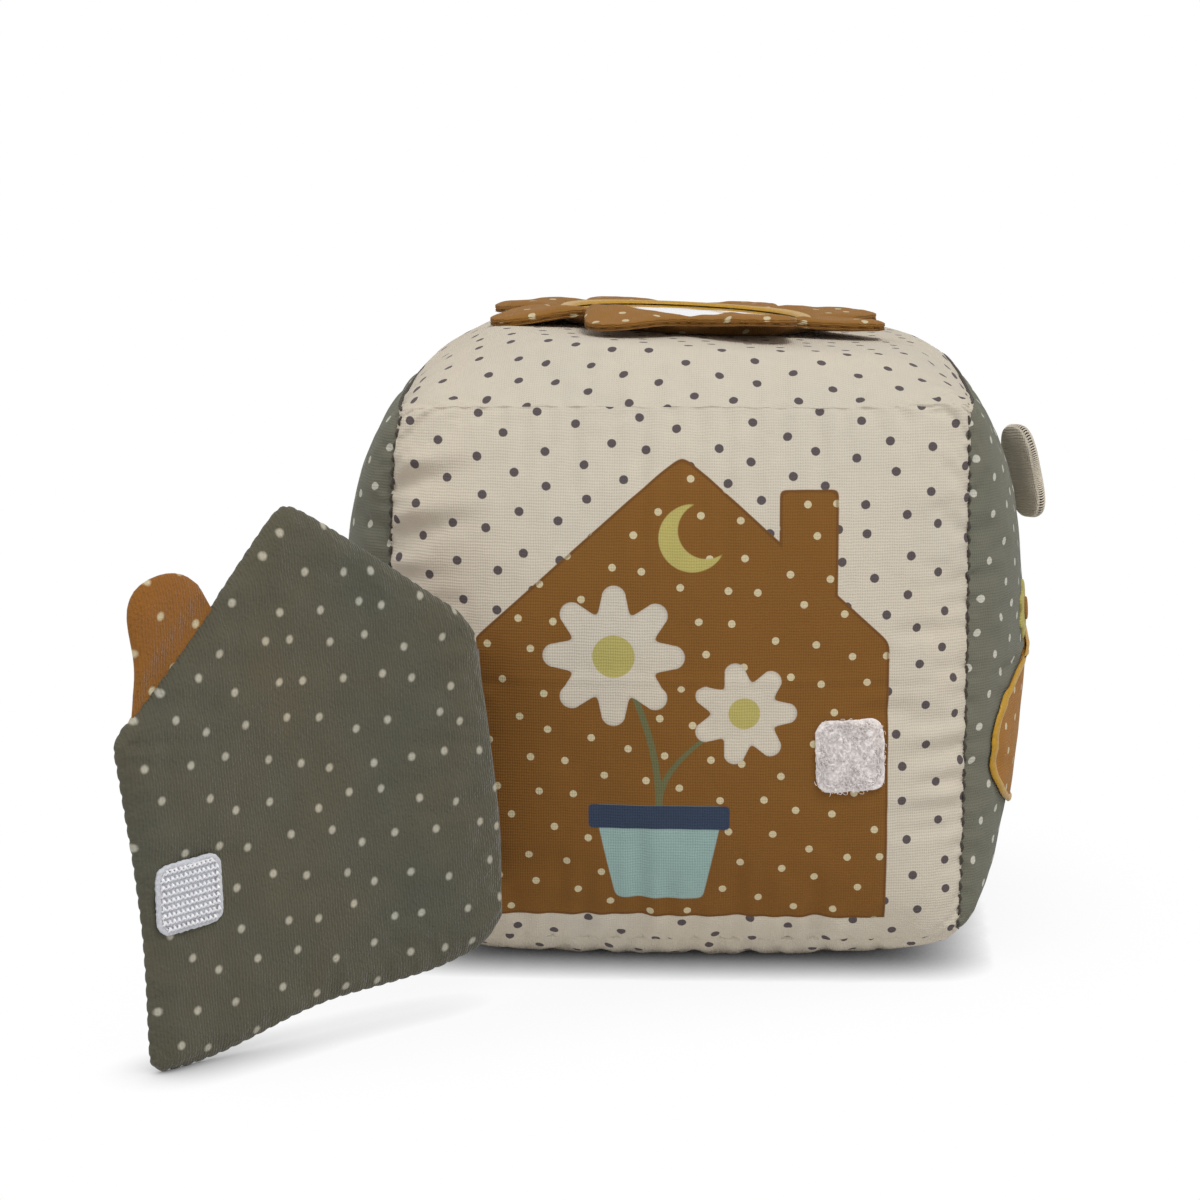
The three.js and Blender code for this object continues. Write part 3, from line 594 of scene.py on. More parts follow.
def coverForm(place):
    # place runs from -1 to 1 over the surface of a cube; front and top run into each other smoothly
    x, y, z = place.T
    c = cover

    def stretch(half, swell, p, q, crownP, crownQ):
        a, b = fullAt(p, c["bowFullness"]), fullAt(q, c["bowFullness"])
        return half + c["bow"] * (a + b - a * b) + swell * crownP * crownQ

    plainX, plainY, plainZ = (fullAt(share, c["fullness"]) for share in (x, y, z))
    crownZ = np.where((y < 0) & (z > 0), softAt(z, c["softEdge"]), plainZ)
    topX = fullAt(x, c["topFullness"])
    topY = np.where(y < 0, softAt(y, c["softEdge"]), fullAt(y, c["topFullness"]))
    sideZ = np.where(z > 0, softAt(z, c["firmEdge"]), plainZ)
    sideSwell = np.where(x < 0, c["leftSwell"], c["rightSwell"])
    shoulder = c["shoulder"] * fullAt(y, c["bowFullness"]) * smoothStep(0.4, 1.0, z)
    outX = x * (stretch(c["half"][0], sideSwell, y, z, fullAt(y, c["sideFullness"]), sideZ) + shoulder)
    # the front's left seam is drawn outwards below its top corner
    nearFront = (1 + y) / c["drawnReach"]
    nearSeam = bell((1 + x) / c["drawnReach"], nearFront)
    outX -= c["pull"] * nearSeam * np.clip(1 - np.abs(z) ** 7, 0, 1) * smoothStep(-1.0, 0.1, z)
    outY = y * stretch(c["half"][1], c["frontSwell"], x, z, plainX, crownZ)
    rise = stretch(c["half"][2], c["topSwell"], x, y, topX, topY)
    fall = stretch(c["half"][2], c["bottomSwell"], x, y, plainX, plainY)
    # the front's bottom seam sags, and its upper right corner is drawn up
    sag = c["sag"] * bell(nearFront) * fullAt(x, c["bowFullness"]) * smoothStep(0.3, 1.0, -z)
    lift = c["cornerLift"] * bell((1 - x) / c["cornerReach"], nearFront) * smoothStep(0.4, 1.0, z)
    return np.stack([outX, outY, c["middle"] + z * np.where(z > 0, rise, fall) - sag + lift], axis=-1)


# Folds that run in from the seams: side, edge, place along the edge from the panel's middle,
# depth, half width, length (mm), and the turn along the edge at the fold's inner end
drawnFolds = [
    ("front", "left", 42.0, 1.9, 2.5, 12, 2.5),
    ("front", "left", 31.5, 2.1, 2.5, 13, 2.5),
    ("front", "left", 21.5, 1.2, 2.2, 9, 1.0),
    ("front", "left", 12.0, 0.7, 1.8, 8, 0.0),
    ("front", "right", -14.5, 0.7, 2.2, 18, -3.0),
    ("front", "right", -28.0, 0.6, 2.2, 20, -2.0),
    ("front", "right", 21.0, 0.4, 1.8, 10, 0.0),
    ("front", "bottom", 30.0, 1.1, 3.0, 9, 0.0),
    ("front", "bottom", 12.0, 1.0, 3.2, 9, 1.0),
    ("front", "bottom", -9.0, 1.1, 3.0, 9, -1.0),
]


def sideFrame(side):
    return {name: np.array(value, float) for name, value in sides[side].items()}


def edgesOf(side, s, t):
    # for each edge of a panel: its name, the distance to it, and the place along it
    halfS = np.abs(sides[side]["across"]) @ cover["half"]
    halfT = np.abs(sides[side]["along"]) @ cover["half"]
    return (("left", (1 + s) * halfS, t * halfT), ("right", (1 - s) * halfS, t * halfT),
            ("bottom", (1 + t) * halfT, s * halfS), ("top", (1 - t) * halfT, s * halfS))


def neighbourOf(side, edge):
    way = np.array(sides[side]["across" if edge in ("left", "right") else "along"])
    way = way * (1 if edge in ("right", "top") else -1)
    return next(name for name, other in sides.items() if tuple(way) == other["out"])


def bitesAt(place, stitch):
    return np.cos(np.pi * place / stitch) ** 6


def foldRelief(away, along, spot, depth, width, length, turn, tuck):
    # a valley with a small ridge beside it, that fades from the seam inwards
    offset = (along - spot - turn * away / length) / width
    valley = -bell(offset) + 0.7 * bell(offset - 1.5)
    return depth * bell(away / length) * (1 - np.exp(-away / tuck)) * valley


def readGrid(table, column, row):
    # smooth reading between the values of a table, by cubic weights
    width, height = table.shape
    i, j = np.floor(column).astype(int), np.floor(row).astype(int)
    a, b = column - i, row - j

    def weights(share):
        return (-0.5 * share + share ** 2 - 0.5 * share ** 3, 1 - 2.5 * share ** 2 + 1.5 * share ** 3,
                0.5 * share + 2 * share ** 2 - 1.5 * share ** 3, -0.5 * share ** 2 + 0.5 * share ** 3)

    total = np.zeros_like(column, dtype=float)
    for m, weightA in enumerate(weights(a)):
        for n, weightB in enumerate(weights(b)):
            spot = np.clip(i + m - 1, 0, width - 1), np.clip(j + n - 1, 0, height - 1)
            total += weightA * weightB * table[spot]
    return total


def blurGrid(table, reach):
    places = np.arange(-3 * reach, 3 * reach + 1)
    kernel = np.exp(-0.5 * (places / reach) ** 2)
    kernel /= kernel.sum()
    wide = np.pad(table, 3 * reach, mode="edge")
    wide = np.apply_along_axis(lambda line: np.convolve(line, kernel, "valid"), 0, wide)
    return np.apply_along_axis(lambda line: np.convolve(line, kernel, "valid"), 1, wide)


# Cloth: a grid of fabric with its edge sewn fast and a little spare length is blown out, and its
# wrinkles are kept as heights over the plain form
clothScale = 10  # the solver works better on larger sheets
clothFrames = 20
clothSettings = {
    "quality": 5, "mass": 0.2, "tension_stiffness": 25, "compression_stiffness": 25, "shear_stiffness": 8,
    "bending_stiffness": 0.25, "tension_damping": 10, "compression_damping": 10,
    "vertex_group_mass": "sewn", "vertex_group_shrink": "spare", "use_pressure": True,
}


def crumple(grid, spare, seed, keep, pressure=4.0, blur=5):
    count = len(grid)
    bm = bmesh.new()
    bmesh.ops.create_grid(bm, x_segments=count - 1, y_segments=count - 1, size=1)
    piece = makeObject(bm, "cloth")
    i, j = np.rint((getPoints(piece.data)[:, :2].T + 1) / 2 * (count - 1)).astype(int)
    random = np.random.default_rng(seed)
    jitter = blurGrid(random.normal(0, 1, (count, count)), 1) * 0.25 * mm
    normal = unit(np.cross(np.gradient(grid, axis=0), np.gradient(grid, axis=1)))
    start = (grid + normal * jitter[..., None])[i, j] * clothScale
    setPoints(piece.data, start)
    edge = np.minimum(np.minimum(i, count - 1 - i), np.minimum(j, count - 1 - j))
    pins = piece.vertex_groups.new(name="sewn")
    pins.add(np.flatnonzero(edge == 0).tolist(), 1.0, "REPLACE")
    # the spare length is uneven, in ten steps
    loose = piece.vertex_groups.new(name="spare")
    patches = blurGrid(random.uniform(0, 1, (count, count)), 3)
    patches = (patches - patches.min()) / (patches.max() - patches.min())
    for step in range(11):
        chosen = np.flatnonzero(np.rint(patches[i, j] * 10) == step)
        loose.add(chosen.tolist(), step / 10, "REPLACE")
    cloth = piece.modifiers.new("cloth", "CLOTH")
    for name, value in clothSettings.items():
        setattr(cloth.settings, name, value)
    cloth.settings.shrink_min = -spare * 0.3
    cloth.settings.shrink_max = -spare
    cloth.settings.uniform_pressure_force = pressure
    cloth.settings.effector_weights.gravity = 0
    cloth.point_cache.frame_start = 1
    cloth.point_cache.frame_end = clothFrames
    scene = bpy.context.scene
    for number in range(1, clothFrames + 1):
        scene.frame_set(number)
    shaped = piece.evaluated_get(bpy.context.evaluated_depsgraph_get())
    ends = getPoints(shaped.to_mesh())
    shaped.to_mesh_clear()
    mesh = piece.data
    bpy.data.objects.remove(piece)
    bpy.data.meshes.remove(mesh)
    scene.frame_set(1)
    moved = np.zeros(grid.shape)
    moved[i, j] = (ends - start) / clothScale
    height = np.einsum("ijk,ijk->ij", moved, normal)
    fine = height - blurGrid(height, blur)
    print("cloth", seed, "moved", round(float(np.abs(height).max() / mm), 2), "mm, fine",
          round(float(fine.std() / mm), 3), "mm")
    return np.clip(fine, -keep, keep)


def lineAt(count):
    return np.sin(np.linspace(-0.5, 0.5, count) * np.pi)


def cellsAt(s, t, count):
    # where the shares lie in a table whose lines are spaced like lineAt
    return [(np.arcsin(np.clip(share, -1, 1)) / np.pi + 0.5) * count for share in (s, t)]


def sheetForm(side, s, t):
    frameOf = sideFrame(side)
    place = frameOf["out"] + s[..., None] * frameOf["across"] + t[..., None] * frameOf["along"]
    return coverForm(np.clip(place, -1, 1).reshape(-1, 3)).reshape(*s.shape, 3)


wrinkles = {}
for number, side in enumerate(sides):
    line = lineAt(cover["clothCells"] + 1)
    s, t = np.meshgrid(line, line, indexing="ij")
    wrinkles[side] = crumple(sheetForm(side, s, t), cover["spare"], 31 + number, cover["wrinkle"])


def panelRelief(side, s, t):
    # how far the panel's surface stands out of the plain crowned form
    relief = np.zeros_like(s)
    for order, (edge, away, along) in enumerate(edgesOf(side, s, t)):
        pair = "".join(sorted((side, neighbourOf(side, edge))))
        # the seam between front and top lies flat
        smooth, sunk = (0.2, 0.05) if pair == "fronttop" else (1.0, 1.0)
        relief -= sunk * cover["roll"] * np.exp(-away / cover["rollReach"])
        bites = bitesAt(along, cover["stitch"]) * bell(away / cover["biteReach"])
        relief -= sunk * cover["bite"] * bites
        seed = sum(ord(letter) * (place + 3) for place, letter in enumerate(pair))
        random = np.random.default_rng(seed + order * 17)
        strength = {"bottom": 1.4, "top": 0.8}.get(edge, 1.0) * smooth
        for number in range(cover["puckers"]):
            share = (number + random.uniform(0.1, 0.9)) / cover["puckers"]
            spot = (-1 + 2 * share) * cover["puckerSpan"]
            depth = random.uniform(0.1, 0.5) * mm * strength
            width = random.uniform(1.2, 2.6) * mm
            length = random.uniform(3, 11) * mm
            turn = random.uniform(-2.5, 2.5) * mm
            relief += foldRelief(away, along, spot, depth, width, length, turn, 1.2 * mm)
    for foldSide, foldEdge, *fold in drawnFolds:
        if foldSide == side:
            away, along = next((d, a) for name, d, a in edgesOf(side, s, t) if name == foldEdge)
            relief += foldRelief(away, along, *(value * mm for value in fold), 1.5 * mm)
    if side == "right":  # the leaf's root draws the panel in
        fromLeaf = np.hypot(s * cover["half"][1] - 8 * mm, t * cover["half"][2] - 36 * mm)
        relief -= 1.5 * mm * bell(fromLeaf / (15 * mm))
    rest = (1 - s ** 4) * (1 - t ** 4)
    seed = len(side) * 7 + ord(side[0])
    relief += 0.6 * mm * rest * sheetNoise(s * 2.2 + 9, t * 2.2 + 9, seed)
    relief += 0.2 * mm * rest * sheetNoise(s * 6 + 19, t * 6 + 19, seed + 1)
    return relief + readGrid(wrinkles[side], *cellsAt(s, t, cover["clothCells"]))


def seatAt(x, y):
    # the sun's stitching draws the top panel down to this slightly sloping seat
    middleX, middleY = cover["seatMiddle"]
    leanX, leanY = cover["seatLean"]
    return cover["seat"] + leanX * (x - middleX) + leanY * (y - middleY)


def panelSurface(side, s, t, lift=0.0):
    # points on a side of the stuffed cover; s and t run from -1 to 1 across and along it
    inner, small = 0.96, 0.01
    u, v = np.clip(s, -inner, inner), np.clip(t, -inner, inner)
    acrossWay = sheetForm(side, u + small, v) - sheetForm(side, u - small, v)
    alongWay = sheetForm(side, u, v + small) - sheetForm(side, u, v - small)
    normal = unit(np.cross(acrossWay, alongWay))
    relief = panelRelief(side, s, t)
    points = sheetForm(side, s, t) + normal * (relief + lift)[:, None]
    if side == "bottom":  # it rests on the floor
        points[:, 2] = np.maximum(points[:, 2], np.maximum(-lift, 0) + 0 * s)
    elif side == "top":
        over = points[:, 2] - (seatAt(points[:, 0], points[:, 1]) + lift)
        points[:, 2] -= (over + np.sqrt(over ** 2 + cover["seatRound"] ** 2)) / 2
    else:
        points[:, 2] = np.maximum(points[:, 2], 0.3 * mm)
    return points


def panelUv(side, s, t, steps=160):
    # the fabric's own flat place: arc lengths from the panel's middle
    line = lineAt(steps + 1)
    grid = sheetForm(side, *np.meshgrid(line, line, indexing="ij"))
    u, v = np.zeros((2, steps + 1, steps + 1))
    u[1:] = np.cumsum(np.linalg.norm(np.diff(grid, axis=0), axis=2), axis=0)
    v[:, 1:] = np.cumsum(np.linalg.norm(np.diff(grid, axis=1), axis=2), axis=1)
    u -= u[steps // 2][None, :]
    v -= v[:, steps // 2][:, None]
    cells = cellsAt(s, t, steps)
    return np.stack([readGrid(u, *cells), readGrid(v, *cells)], axis=-1)


def faceShares(side, p, q):
    # the shares s and t of the point that lies p across and q along a side from the cube's middle
    frameOf = sideFrame(side)
    half = cover["half"].max()
    s, t = p / half, q / half
    for _ in range(8):
        points = sheetForm(side, s, t) - np.array([0, 0, cover["middle"]])
        s = np.clip(s + (p - points @ frameOf["across"]) / half, -1, 1)
        t = np.clip(t + (q - points @ frameOf["along"]) / half, -1, 1)
    return s, t


panelMaterials = {"front": frontCotton, "back": creamCotton, "top": creamCotton, "bottom": creamCotton,
                  "left": greenCotton, "right": greenCotton}
panelSteps = cover["steps"]
seamInset = 0.001


def panelShares(flat):
    return [np.sin(flat[:, axis] * np.pi / 2) * (1 - seamInset) for axis in (0, 1)]


def placePanel(flat, side):
    return panelSurface(side, *panelShares(flat), flat[:, 2] * cover["thickness"])


for side in sides:
    panel = shapePiece(flatSlab(panelSteps, panelSteps), side + "Panel",
                       lambda flat, side=side: placePanel(flat, side),
                       lambda flat, side=side: panelUv(side, *panelShares(flat)))
    slotName = "grey_green_cotton" if side in ("left", "right") else "cream_cotton"
    finishPiece(panel, panelMaterials[side], nodes=[side + "_panel"])
print("cover made")

# Filling: two lumpy wads of fibre with a pocket for the rattle. Each is a sheet that runs over the
# cube's edge (share 1 / overEdge) to its middle plane; its inner side holds the pocket.
wads = {
    "overEdge": 1.5, "depth": 6 * mm, "lump": 1.6 * mm, "pocket": 21.5 * mm, "pocketHeight": 16 * mm,
    "pocketShare": 0.35, "floorShare": 0.45, "gap": 0.4 * mm, "foot": 4 * mm, "steps": 72,
}


def placeWad(flat, way):
    w = wads
    middle = np.array([0, 0, cover["middle"]])
    s, t = flat[:, 0] * w["overEdge"], flat[:, 1] * w["overEdge"]
    reach = np.maximum(np.abs(s), np.abs(t))
    over = np.maximum(reach, 1)
    place = np.stack([s / over, t / over, way * (1 - 2 * (over - 1))], axis=-1)
    spots = coverForm(place) - middle
    spots[:, 2] = np.minimum(np.abs(spots[:, 2]), cover["seat"] - cover["middle"]) * way
    lumps = w["depth"] + w["lump"] * sheetNoise(s * 5 + 8, t * 5 + 8, 71 + way)
    outer = spots * (1 - lumps / np.linalg.norm(spots, axis=1))[:, None]
    outer[:, 2] = way * np.maximum(np.abs(outer[:, 2]), 4 * w["gap"])
    outer[:, 2] = np.maximum(outer[:, 2], w["foot"] - cover["middle"])
    share = reach / w["overEdge"]
    heading = unit(np.stack([s, t], axis=-1))
    pocket = np.minimum(share / w["pocketShare"], 1)[:, None] * w["pocket"] * heading
    onRim = place * (1, 1, 0) / np.abs(place[:, :2]).max(axis=1, keepdims=True).clip(1e-6)
    rim = coverForm(onRim)[:, :2] * 0.9 * np.minimum(share, 1)[:, None]
    spread = np.clip((share - w["floorShare"]) / (1 - w["floorShare"]), 0, 1)[:, None]
    floor = w["gap"] + w["pocketHeight"] * np.clip((w["floorShare"] - share) / 0.1, 0, 1)
    inner = np.column_stack([pocket * (1 - spread) + rim * spread, way * floor])
    return np.where(flat[:, 2:3] < -0.5, inner, outer) + middle


for name, way in (("filling_lower", -1), ("filling_upper", 1)):
    wad = shapePiece(flatSlab(wads["steps"], wads["steps"]), name + "Wad",
                     lambda flat, way=way: placeWad(flat, way))
    finishPiece(wad, fibreFilling, nodes=[name])


# Outlines

def pointAt(angle, reach):
    return reach * np.cos(angle), reach * np.sin(angle)


def roundedOutline(corners, steps=8):
    # a closed line through corners (x, y, radius), each rounded
    points = []
    for number, (x, y, radius) in enumerate(corners):
        here = np.array([x, y])
        before = np.array(corners[number - 1][:2]) - here
        after = np.array(corners[(number + 1) % len(corners)][:2]) - here
        before = here + before / np.linalg.norm(before) * radius
        after = here + after / np.linalg.norm(after) * radius
        for share in np.linspace(0, 1, steps):
            points.append(before * (1 - share) ** 2 + 2 * here * share * (1 - share) + after * share ** 2)
    return np.array(points)


def radiusAt(outline, middle):
    # the outline's distance from a middle point, by angle
    closed = np.concatenate([outline, outline[:1]])
    pieces = [np.linspace(a, b, 12, endpoint=False) for a, b in zip(closed[:-1], closed[1:])]
    fine = np.concatenate(pieces) - middle
    angles = np.arctan2(fine[:, 1], fine[:, 0])
    order = np.argsort(angles)
    distances = np.hypot(fine[:, 0], fine[:, 1])
    return lambda angle: np.interp(angle, angles[order], distances[order], period=2 * np.pi)


def roundedBox(halfX, halfY, squareness):
    def radius(angle):
        across, along = np.abs(np.cos(angle) / halfX), np.abs(np.sin(angle) / halfY)
        return (across ** squareness + along ** squareness) ** (-1 / squareness)
    return radius


def circle(radius):
    return lambda angle: radius + 0 * angle


def roundSlab(steps, rings, hole=0.0):
    # a closed flat disc or ring: radius up to 1, its upper side at z 0 and its lower side at z -1
    bm = bmesh.new()
    reaches = [hole + (1 - hole) * math.sin(share * math.pi / 2) for share in np.linspace(0, 1, rings + 1)]
    line = [bm.verts.new((reach, 0, 0)) for reach in reaches]
    for near, far in zip(line[:-1], line[1:]):
        bm.edges.new((near, far))
    bmesh.ops.spin(bm, geom=bm.verts[:] + bm.edges[:], cent=(0, 0, 0), axis=(0, 0, 1), angle=2 * math.pi,
                   steps=steps, use_merge=True)
    bmesh.ops.remove_doubles(bm, verts=bm.verts[:], dist=1e-5)
    bmesh.ops.recalc_face_normals(bm, faces=bm.faces[:])
    bmesh.ops.solidify(bm, geom=bm.faces[:], thickness=1)
    for vert in bm.verts:
        vert.co.z = -1 if abs(vert.co.z) > 0.5 else 0
    return bm


def polar(flat):
    return np.arctan2(flat[:, 1], flat[:, 0]), np.hypot(flat[:, 0], flat[:, 1]), flat[:, 2] > -0.5


def puffAt(away, reach, height, rim):
    # a padded edge's height over its middle layer
    return rim + height * quarterRound(away / reach)


def edgeLength(away, reach, height):
    # how much longer the fabric is than its flat plan, from a place near the padded edge inwards
    table = np.linspace(0, reach, 200)
    rise = puffAt(table, reach, height, 0)
    extra = np.concatenate([[0], np.cumsum(np.hypot(np.diff(table), np.diff(rise)) - np.diff(table))])
    return extra[-1] - np.interp(away, table, extra)


def roundFabric(radius, shift=(0, 0), puff=None):
    # gives the function for a round piece's own flat place, with its padded edge unrolled
    def fabric(flat):
        angle, share, upper = polar(flat)
        reach = share * radius(angle)
        if puff:
            reach = reach + edgeLength((1 - share) * radius(angle), *puff)
        return np.stack(pointAt(angle, reach), axis=-1) + shift
    return fabric


def threads(name, lines, radius, sides=0):
    # many short threads as one piece, drawn round each line of points
    curve = bpy.data.curves.new(name, "CURVE")
    curve.dimensions = "3D"
    curve.bevel_depth = radius
    curve.bevel_resolution = sides
    curve.use_fill_caps = True
    for line in lines:
        spline = curve.splines.new("POLY")
        spline.points.add(len(line) - 1)
        points = np.column_stack([line, np.ones(len(line))]).astype(np.float32)
        spline.points.foreach_set("co", points.ravel())
    drawn = bpy.data.objects.new(name, curve)
    mesh = bpy.data.meshes.new_from_object(drawn)
    bpy.data.objects.remove(drawn)
    piece = bpy.data.objects.new(name, mesh)
    bpy.context.scene.collection.objects.link(piece)
    return piece


def smoothLine(x, points, reach=3 * mm, step=0.5 * mm, wide=18):
    # a soft line through a few points (place, height), in mm
    places, values = np.array(points).T * mm
    table = np.arange(min(places) - 4 * reach, max(places) + 4 * reach, step)
    kernel = np.exp(-0.5 * (np.arange(-wide, wide + 1) * step / reach) ** 2)
    padded = np.pad(np.interp(table, places, values), wide, mode="edge")
    return np.interp(x, table, np.convolve(padded, kernel / kernel.sum(), "valid"))


# Seams: short dark threads lie between the panels, one for each stitch; their dark colour is painted shade
# for the shadow in the seams' gaps
def seamLine(first, second, count=400):
    # the line where two panels meet, and the way out of the cube there
    axes = sideFrame(first)
    far = np.array(sides[second]["out"], float)
    run = np.cross(axes["out"], far)
    place = axes["out"] + far + np.multiply.outer(np.linspace(-0.975, 0.975, count), run)
    return coverForm(place), unit(axes["out"] + far)


seamShadowDashes = []
for first, second in itertools.product(sides, sides):
    meet = first < second and not np.dot(sides[first]["out"], sides[second]["out"])
    # the front's top and bottom seams are sewn from inside and get none of these dark threads
    if not meet or "front" in (first, second) and {first, second} & {"top", "bottom"}:
        continue
    line, outward = seamLine(first, second)
    length = lengthsAlong(line)
    random = np.random.default_rng(len(seamShadowDashes) + 5)
    for number in range(int(length[-1] / cover["stitch"])):
        begin = number * cover["stitch"] + random.uniform(0, 0.3) * mm
        steps = begin + np.linspace(0, random.uniform(1.5, 2.0) * mm, 5)
        spots = np.stack([np.interp(steps, length, line[:, axis]) for axis in range(3)], axis=-1)
        sunk = -0.95 * mm - 0.25 * mm * np.cos(np.linspace(0, 2 * np.pi, 5))
        seamShadowDashes.append(spots + outward * sunk[:, None])
seams = threads("seamShadowDashes", seamShadowDashes, 0.31 * mm, 1)
finishPiece(seams, seamShadowThread)

# Door: a padded house that hangs open on its hinge fold. In its own frame x runs from the hinge
# line to the free edge, z up the hinge line and y to the lining side.
door = {
    "width": 91 * mm, "wall": 71 * mm, "rise": 37 * mm, "opening": 137.5, "tilt": 6, "droop": 1.9,
    "bow": 1 * mm, "belly": 1.4 * mm, "wave": 0.7 * mm, "puff": 1.7 * mm, "puffReach": 7 * mm,
    "rim": 0.55 * mm, "curl": 0.9 * mm, "fabric": 0.45 * mm, "stitch": 3.1 * mm, "notch": 0.3 * mm,
    "hingeFoot": 9 * mm, "hingeEave": 5.5 * mm, "freeFoot": 3.5 * mm, "freeEave": 2.5 * mm,
    "cells": 64, "spare": 0.035, "wrinkle": 0.45 * mm, "steps": 190,
}
jointPlaces = {joint["name"]: joint for joint in frame["record"]["behaviour"]["joints"]}
doorFoot = np.array(jointPlaces["door_hinge"]["pos_m"])
openTurn = Matrix.Rotation(math.radians(-door["opening"]), 3, "Z")
doorAxes = np.array(openTurn @ Matrix.Rotation(math.radians(door["tilt"]), 3, "Y"))
droopSlope = math.tan(math.radians(door["droop"]))
roofSlope = math.atan2(door["rise"], door["width"] / 2)
roofFall, roofLean = math.tan(roofSlope), math.cos(roofSlope)
# how the worn edges leave their straight lines: place along the edge, and how far (mm)
baseLine = [(0, 0), (18, -1.9), (30, -1.3), (45, 0.2), (55, 0), (66, -1.3), (74, -1.9), (82, -1.6),
            (91, -0.1)]
roofLine = [(0, -0.6), (8, -0.8), (20, -0.2), (32, 0.3), (44, 0.4), (52, -0.5), (62, -1.2), (80, -1.0),
            (91, 0)]
freeLine = [(0, 0.2), (10, -0.5), (20, -1.2), (30, -1.7), (44, -1.0), (54, -0.3), (63, 0.1), (71, 0.7)]
hingeLine = [(0, 0), (10, 0.6), (16, 1.2), (23, 1.8), (35, 1.7), (45, 1.3), (53, 1.0), (62, 0.3), (71, 0)]


def cornerCut(distance, radius):
    return radius - np.sqrt(radius ** 2 - np.clip(radius - distance, 0, radius) ** 2)


def doorLow(x):
    corner = cornerCut(x, door["hingeFoot"]) + cornerCut(door["width"] - x, door["freeFoot"])
    return corner + smoothLine(x, baseLine) + door["notch"] * bitesAt(x, door["stitch"])


def doorHigh(x):
    ridge = np.sqrt((x - door["width"] / 2 + 1.2 * mm) ** 2 + (2.4 * mm) ** 2) - 0.6 * mm
    corner = cornerCut(x, door["hingeEave"]) + cornerCut(door["width"] - x, door["freeEave"])
    roof = door["wall"] + door["rise"] - ridge * roofFall
    return roof - corner + smoothLine(x, roofLine) - door["notch"] * bitesAt(x / roofLean, door["stitch"])


def doorPlan(flat):
    # across and up the door, in metres, and how far in from its edge
    x = (np.sin(flat[:, 0] * np.pi / 2) + 1) / 2 * door["width"]
    share = (np.sin(flat[:, 1] * np.pi / 2) + 1) / 2
    low, high = doorLow(x), doorHigh(x)
    z = low + share * (high - low)
    ends = np.minimum(x, door["width"] - x)
    away = np.minimum(ends, np.minimum(z - low, (high - z) * roofLean))
    hinge = smoothLine(z, hingeLine) * (1 - smoothStep(0, 24 * mm, x))
    free = door["notch"] * bitesAt(z, door["stitch"]) * np.exp(-(door["width"] - x) / (1.5 * mm))
    lean = smoothLine(z, freeLine) * smoothStep(30 * mm, door["width"], x)
    return x - hinge - free + lean, z, away


def doorBend(x, z):
    bend = -door["bow"] * (1 - (2 * x / door["width"] - 1) ** 2)
    belly = door["belly"] * bell((x - 13 * mm) / (13 * mm), (z - 28 * mm) / (26 * mm))
    noise = sheetNoise(x / (26 * mm) + 5, z / (26 * mm) + 5, 91)
    return bend + belly + door["wave"] * smoothStep(10 * mm, 50 * mm, x) * noise


def doorWorld(x, y, z):
    return doorFoot + np.stack([x, y, z - x * droopSlope], axis=-1) @ doorAxes.T


def doorGrid(side):
    count = door["cells"] + 1
    line = np.linspace(-1, 1, count)
    flat = np.stack([axis.ravel() for axis in np.meshgrid(line, line, indexing="ij")], axis=-1)
    x, z, away = doorPlan(flat)
    height = side * puffAt(away, door["puffReach"], door["puff"], door["rim"])
    return doorWorld(x, doorBend(x, z) + height, z).reshape(count, count, 3)


doorWrinkles = {}
for side, seed in ((1, 51), (-1, 52)):
    relief = crumple(doorGrid(side), door["spare"], seed, door["wrinkle"], pressure=1.5, blur=4)
    doorWrinkles[side] = side * relief


def fanFolds(x, z, tackZ, seed):
    # strain lines that run to a tack on the hinge line
    reach = np.hypot(x, z - tackZ)
    angle = np.arctan2(z - tackZ, x + 0.5 * mm)
    waves = lineNoise(angle * 3.1 + 20, seed)
    return 0.55 * mm * waves * np.exp(-reach / (13 * mm)) * smoothStep(1 * mm, 5 * mm, reach)


def doorHeight(side, x, z, away, flat=None):
    height = puffAt(away, door["puffReach"], door["puff"], door["rim"])
    height = height + (fanFolds(x, z, 8 * mm, 7) + fanFolds(x, z, 66 * mm, 8)) * smoothStep(0, 3 * mm, away)
    if flat is not None:
        cells = [(flat[:, axis] + 1) / 2 * door["cells"] for axis in (0, 1)]
        height = height + side * readGrid(doorWrinkles[side], *cells) * smoothStep(0, 2 * mm, away)
    return height


tabStart, tabEnd = 64.5 * mm, 87.2 * mm  # the chimney tab's span across the door


def seamOpening(x, away, z):
    # the roof seam opens a little round the chimney tab's root
    inTab = smoothStep(tabStart - 2 * mm, tabStart, x) * (1 - smoothStep(tabEnd, tabEnd + 2 * mm, x))
    return 0.5 * mm * inTab * np.exp(-away / (4 * mm)) * smoothStep(30 * mm, 50 * mm, z)


def placeDoor(flat, side):
    x, z, away = doorPlan(flat)
    opening = seamOpening(x, away, z)
    height = doorHeight(side, x, z, away, flat) + opening
    inner = np.maximum(height - door["fabric"], 0.06 * mm + opening)
    y = np.where(flat[:, 2] < -0.5, inner, height)
    rim = np.exp(-away / (0.8 * mm))
    if side > 0:  # the lining rolls over the rim, and the face's edge lies a little inside it
        y = y - door["curl"] * rim
    else:
        x = door["width"] / 2 + (x - door["width"] / 2) * (1 - 0.016 * rim)
        z = 45 * mm + (z - 45 * mm) * (1 - 0.014 * rim)
        y = y + 0.3 * mm * rim
    return doorWorld(x, doorBend(x, z) + side * y, z)


def doorFabric(flat):
    return np.stack(doorPlan(flat)[:2], axis=-1)


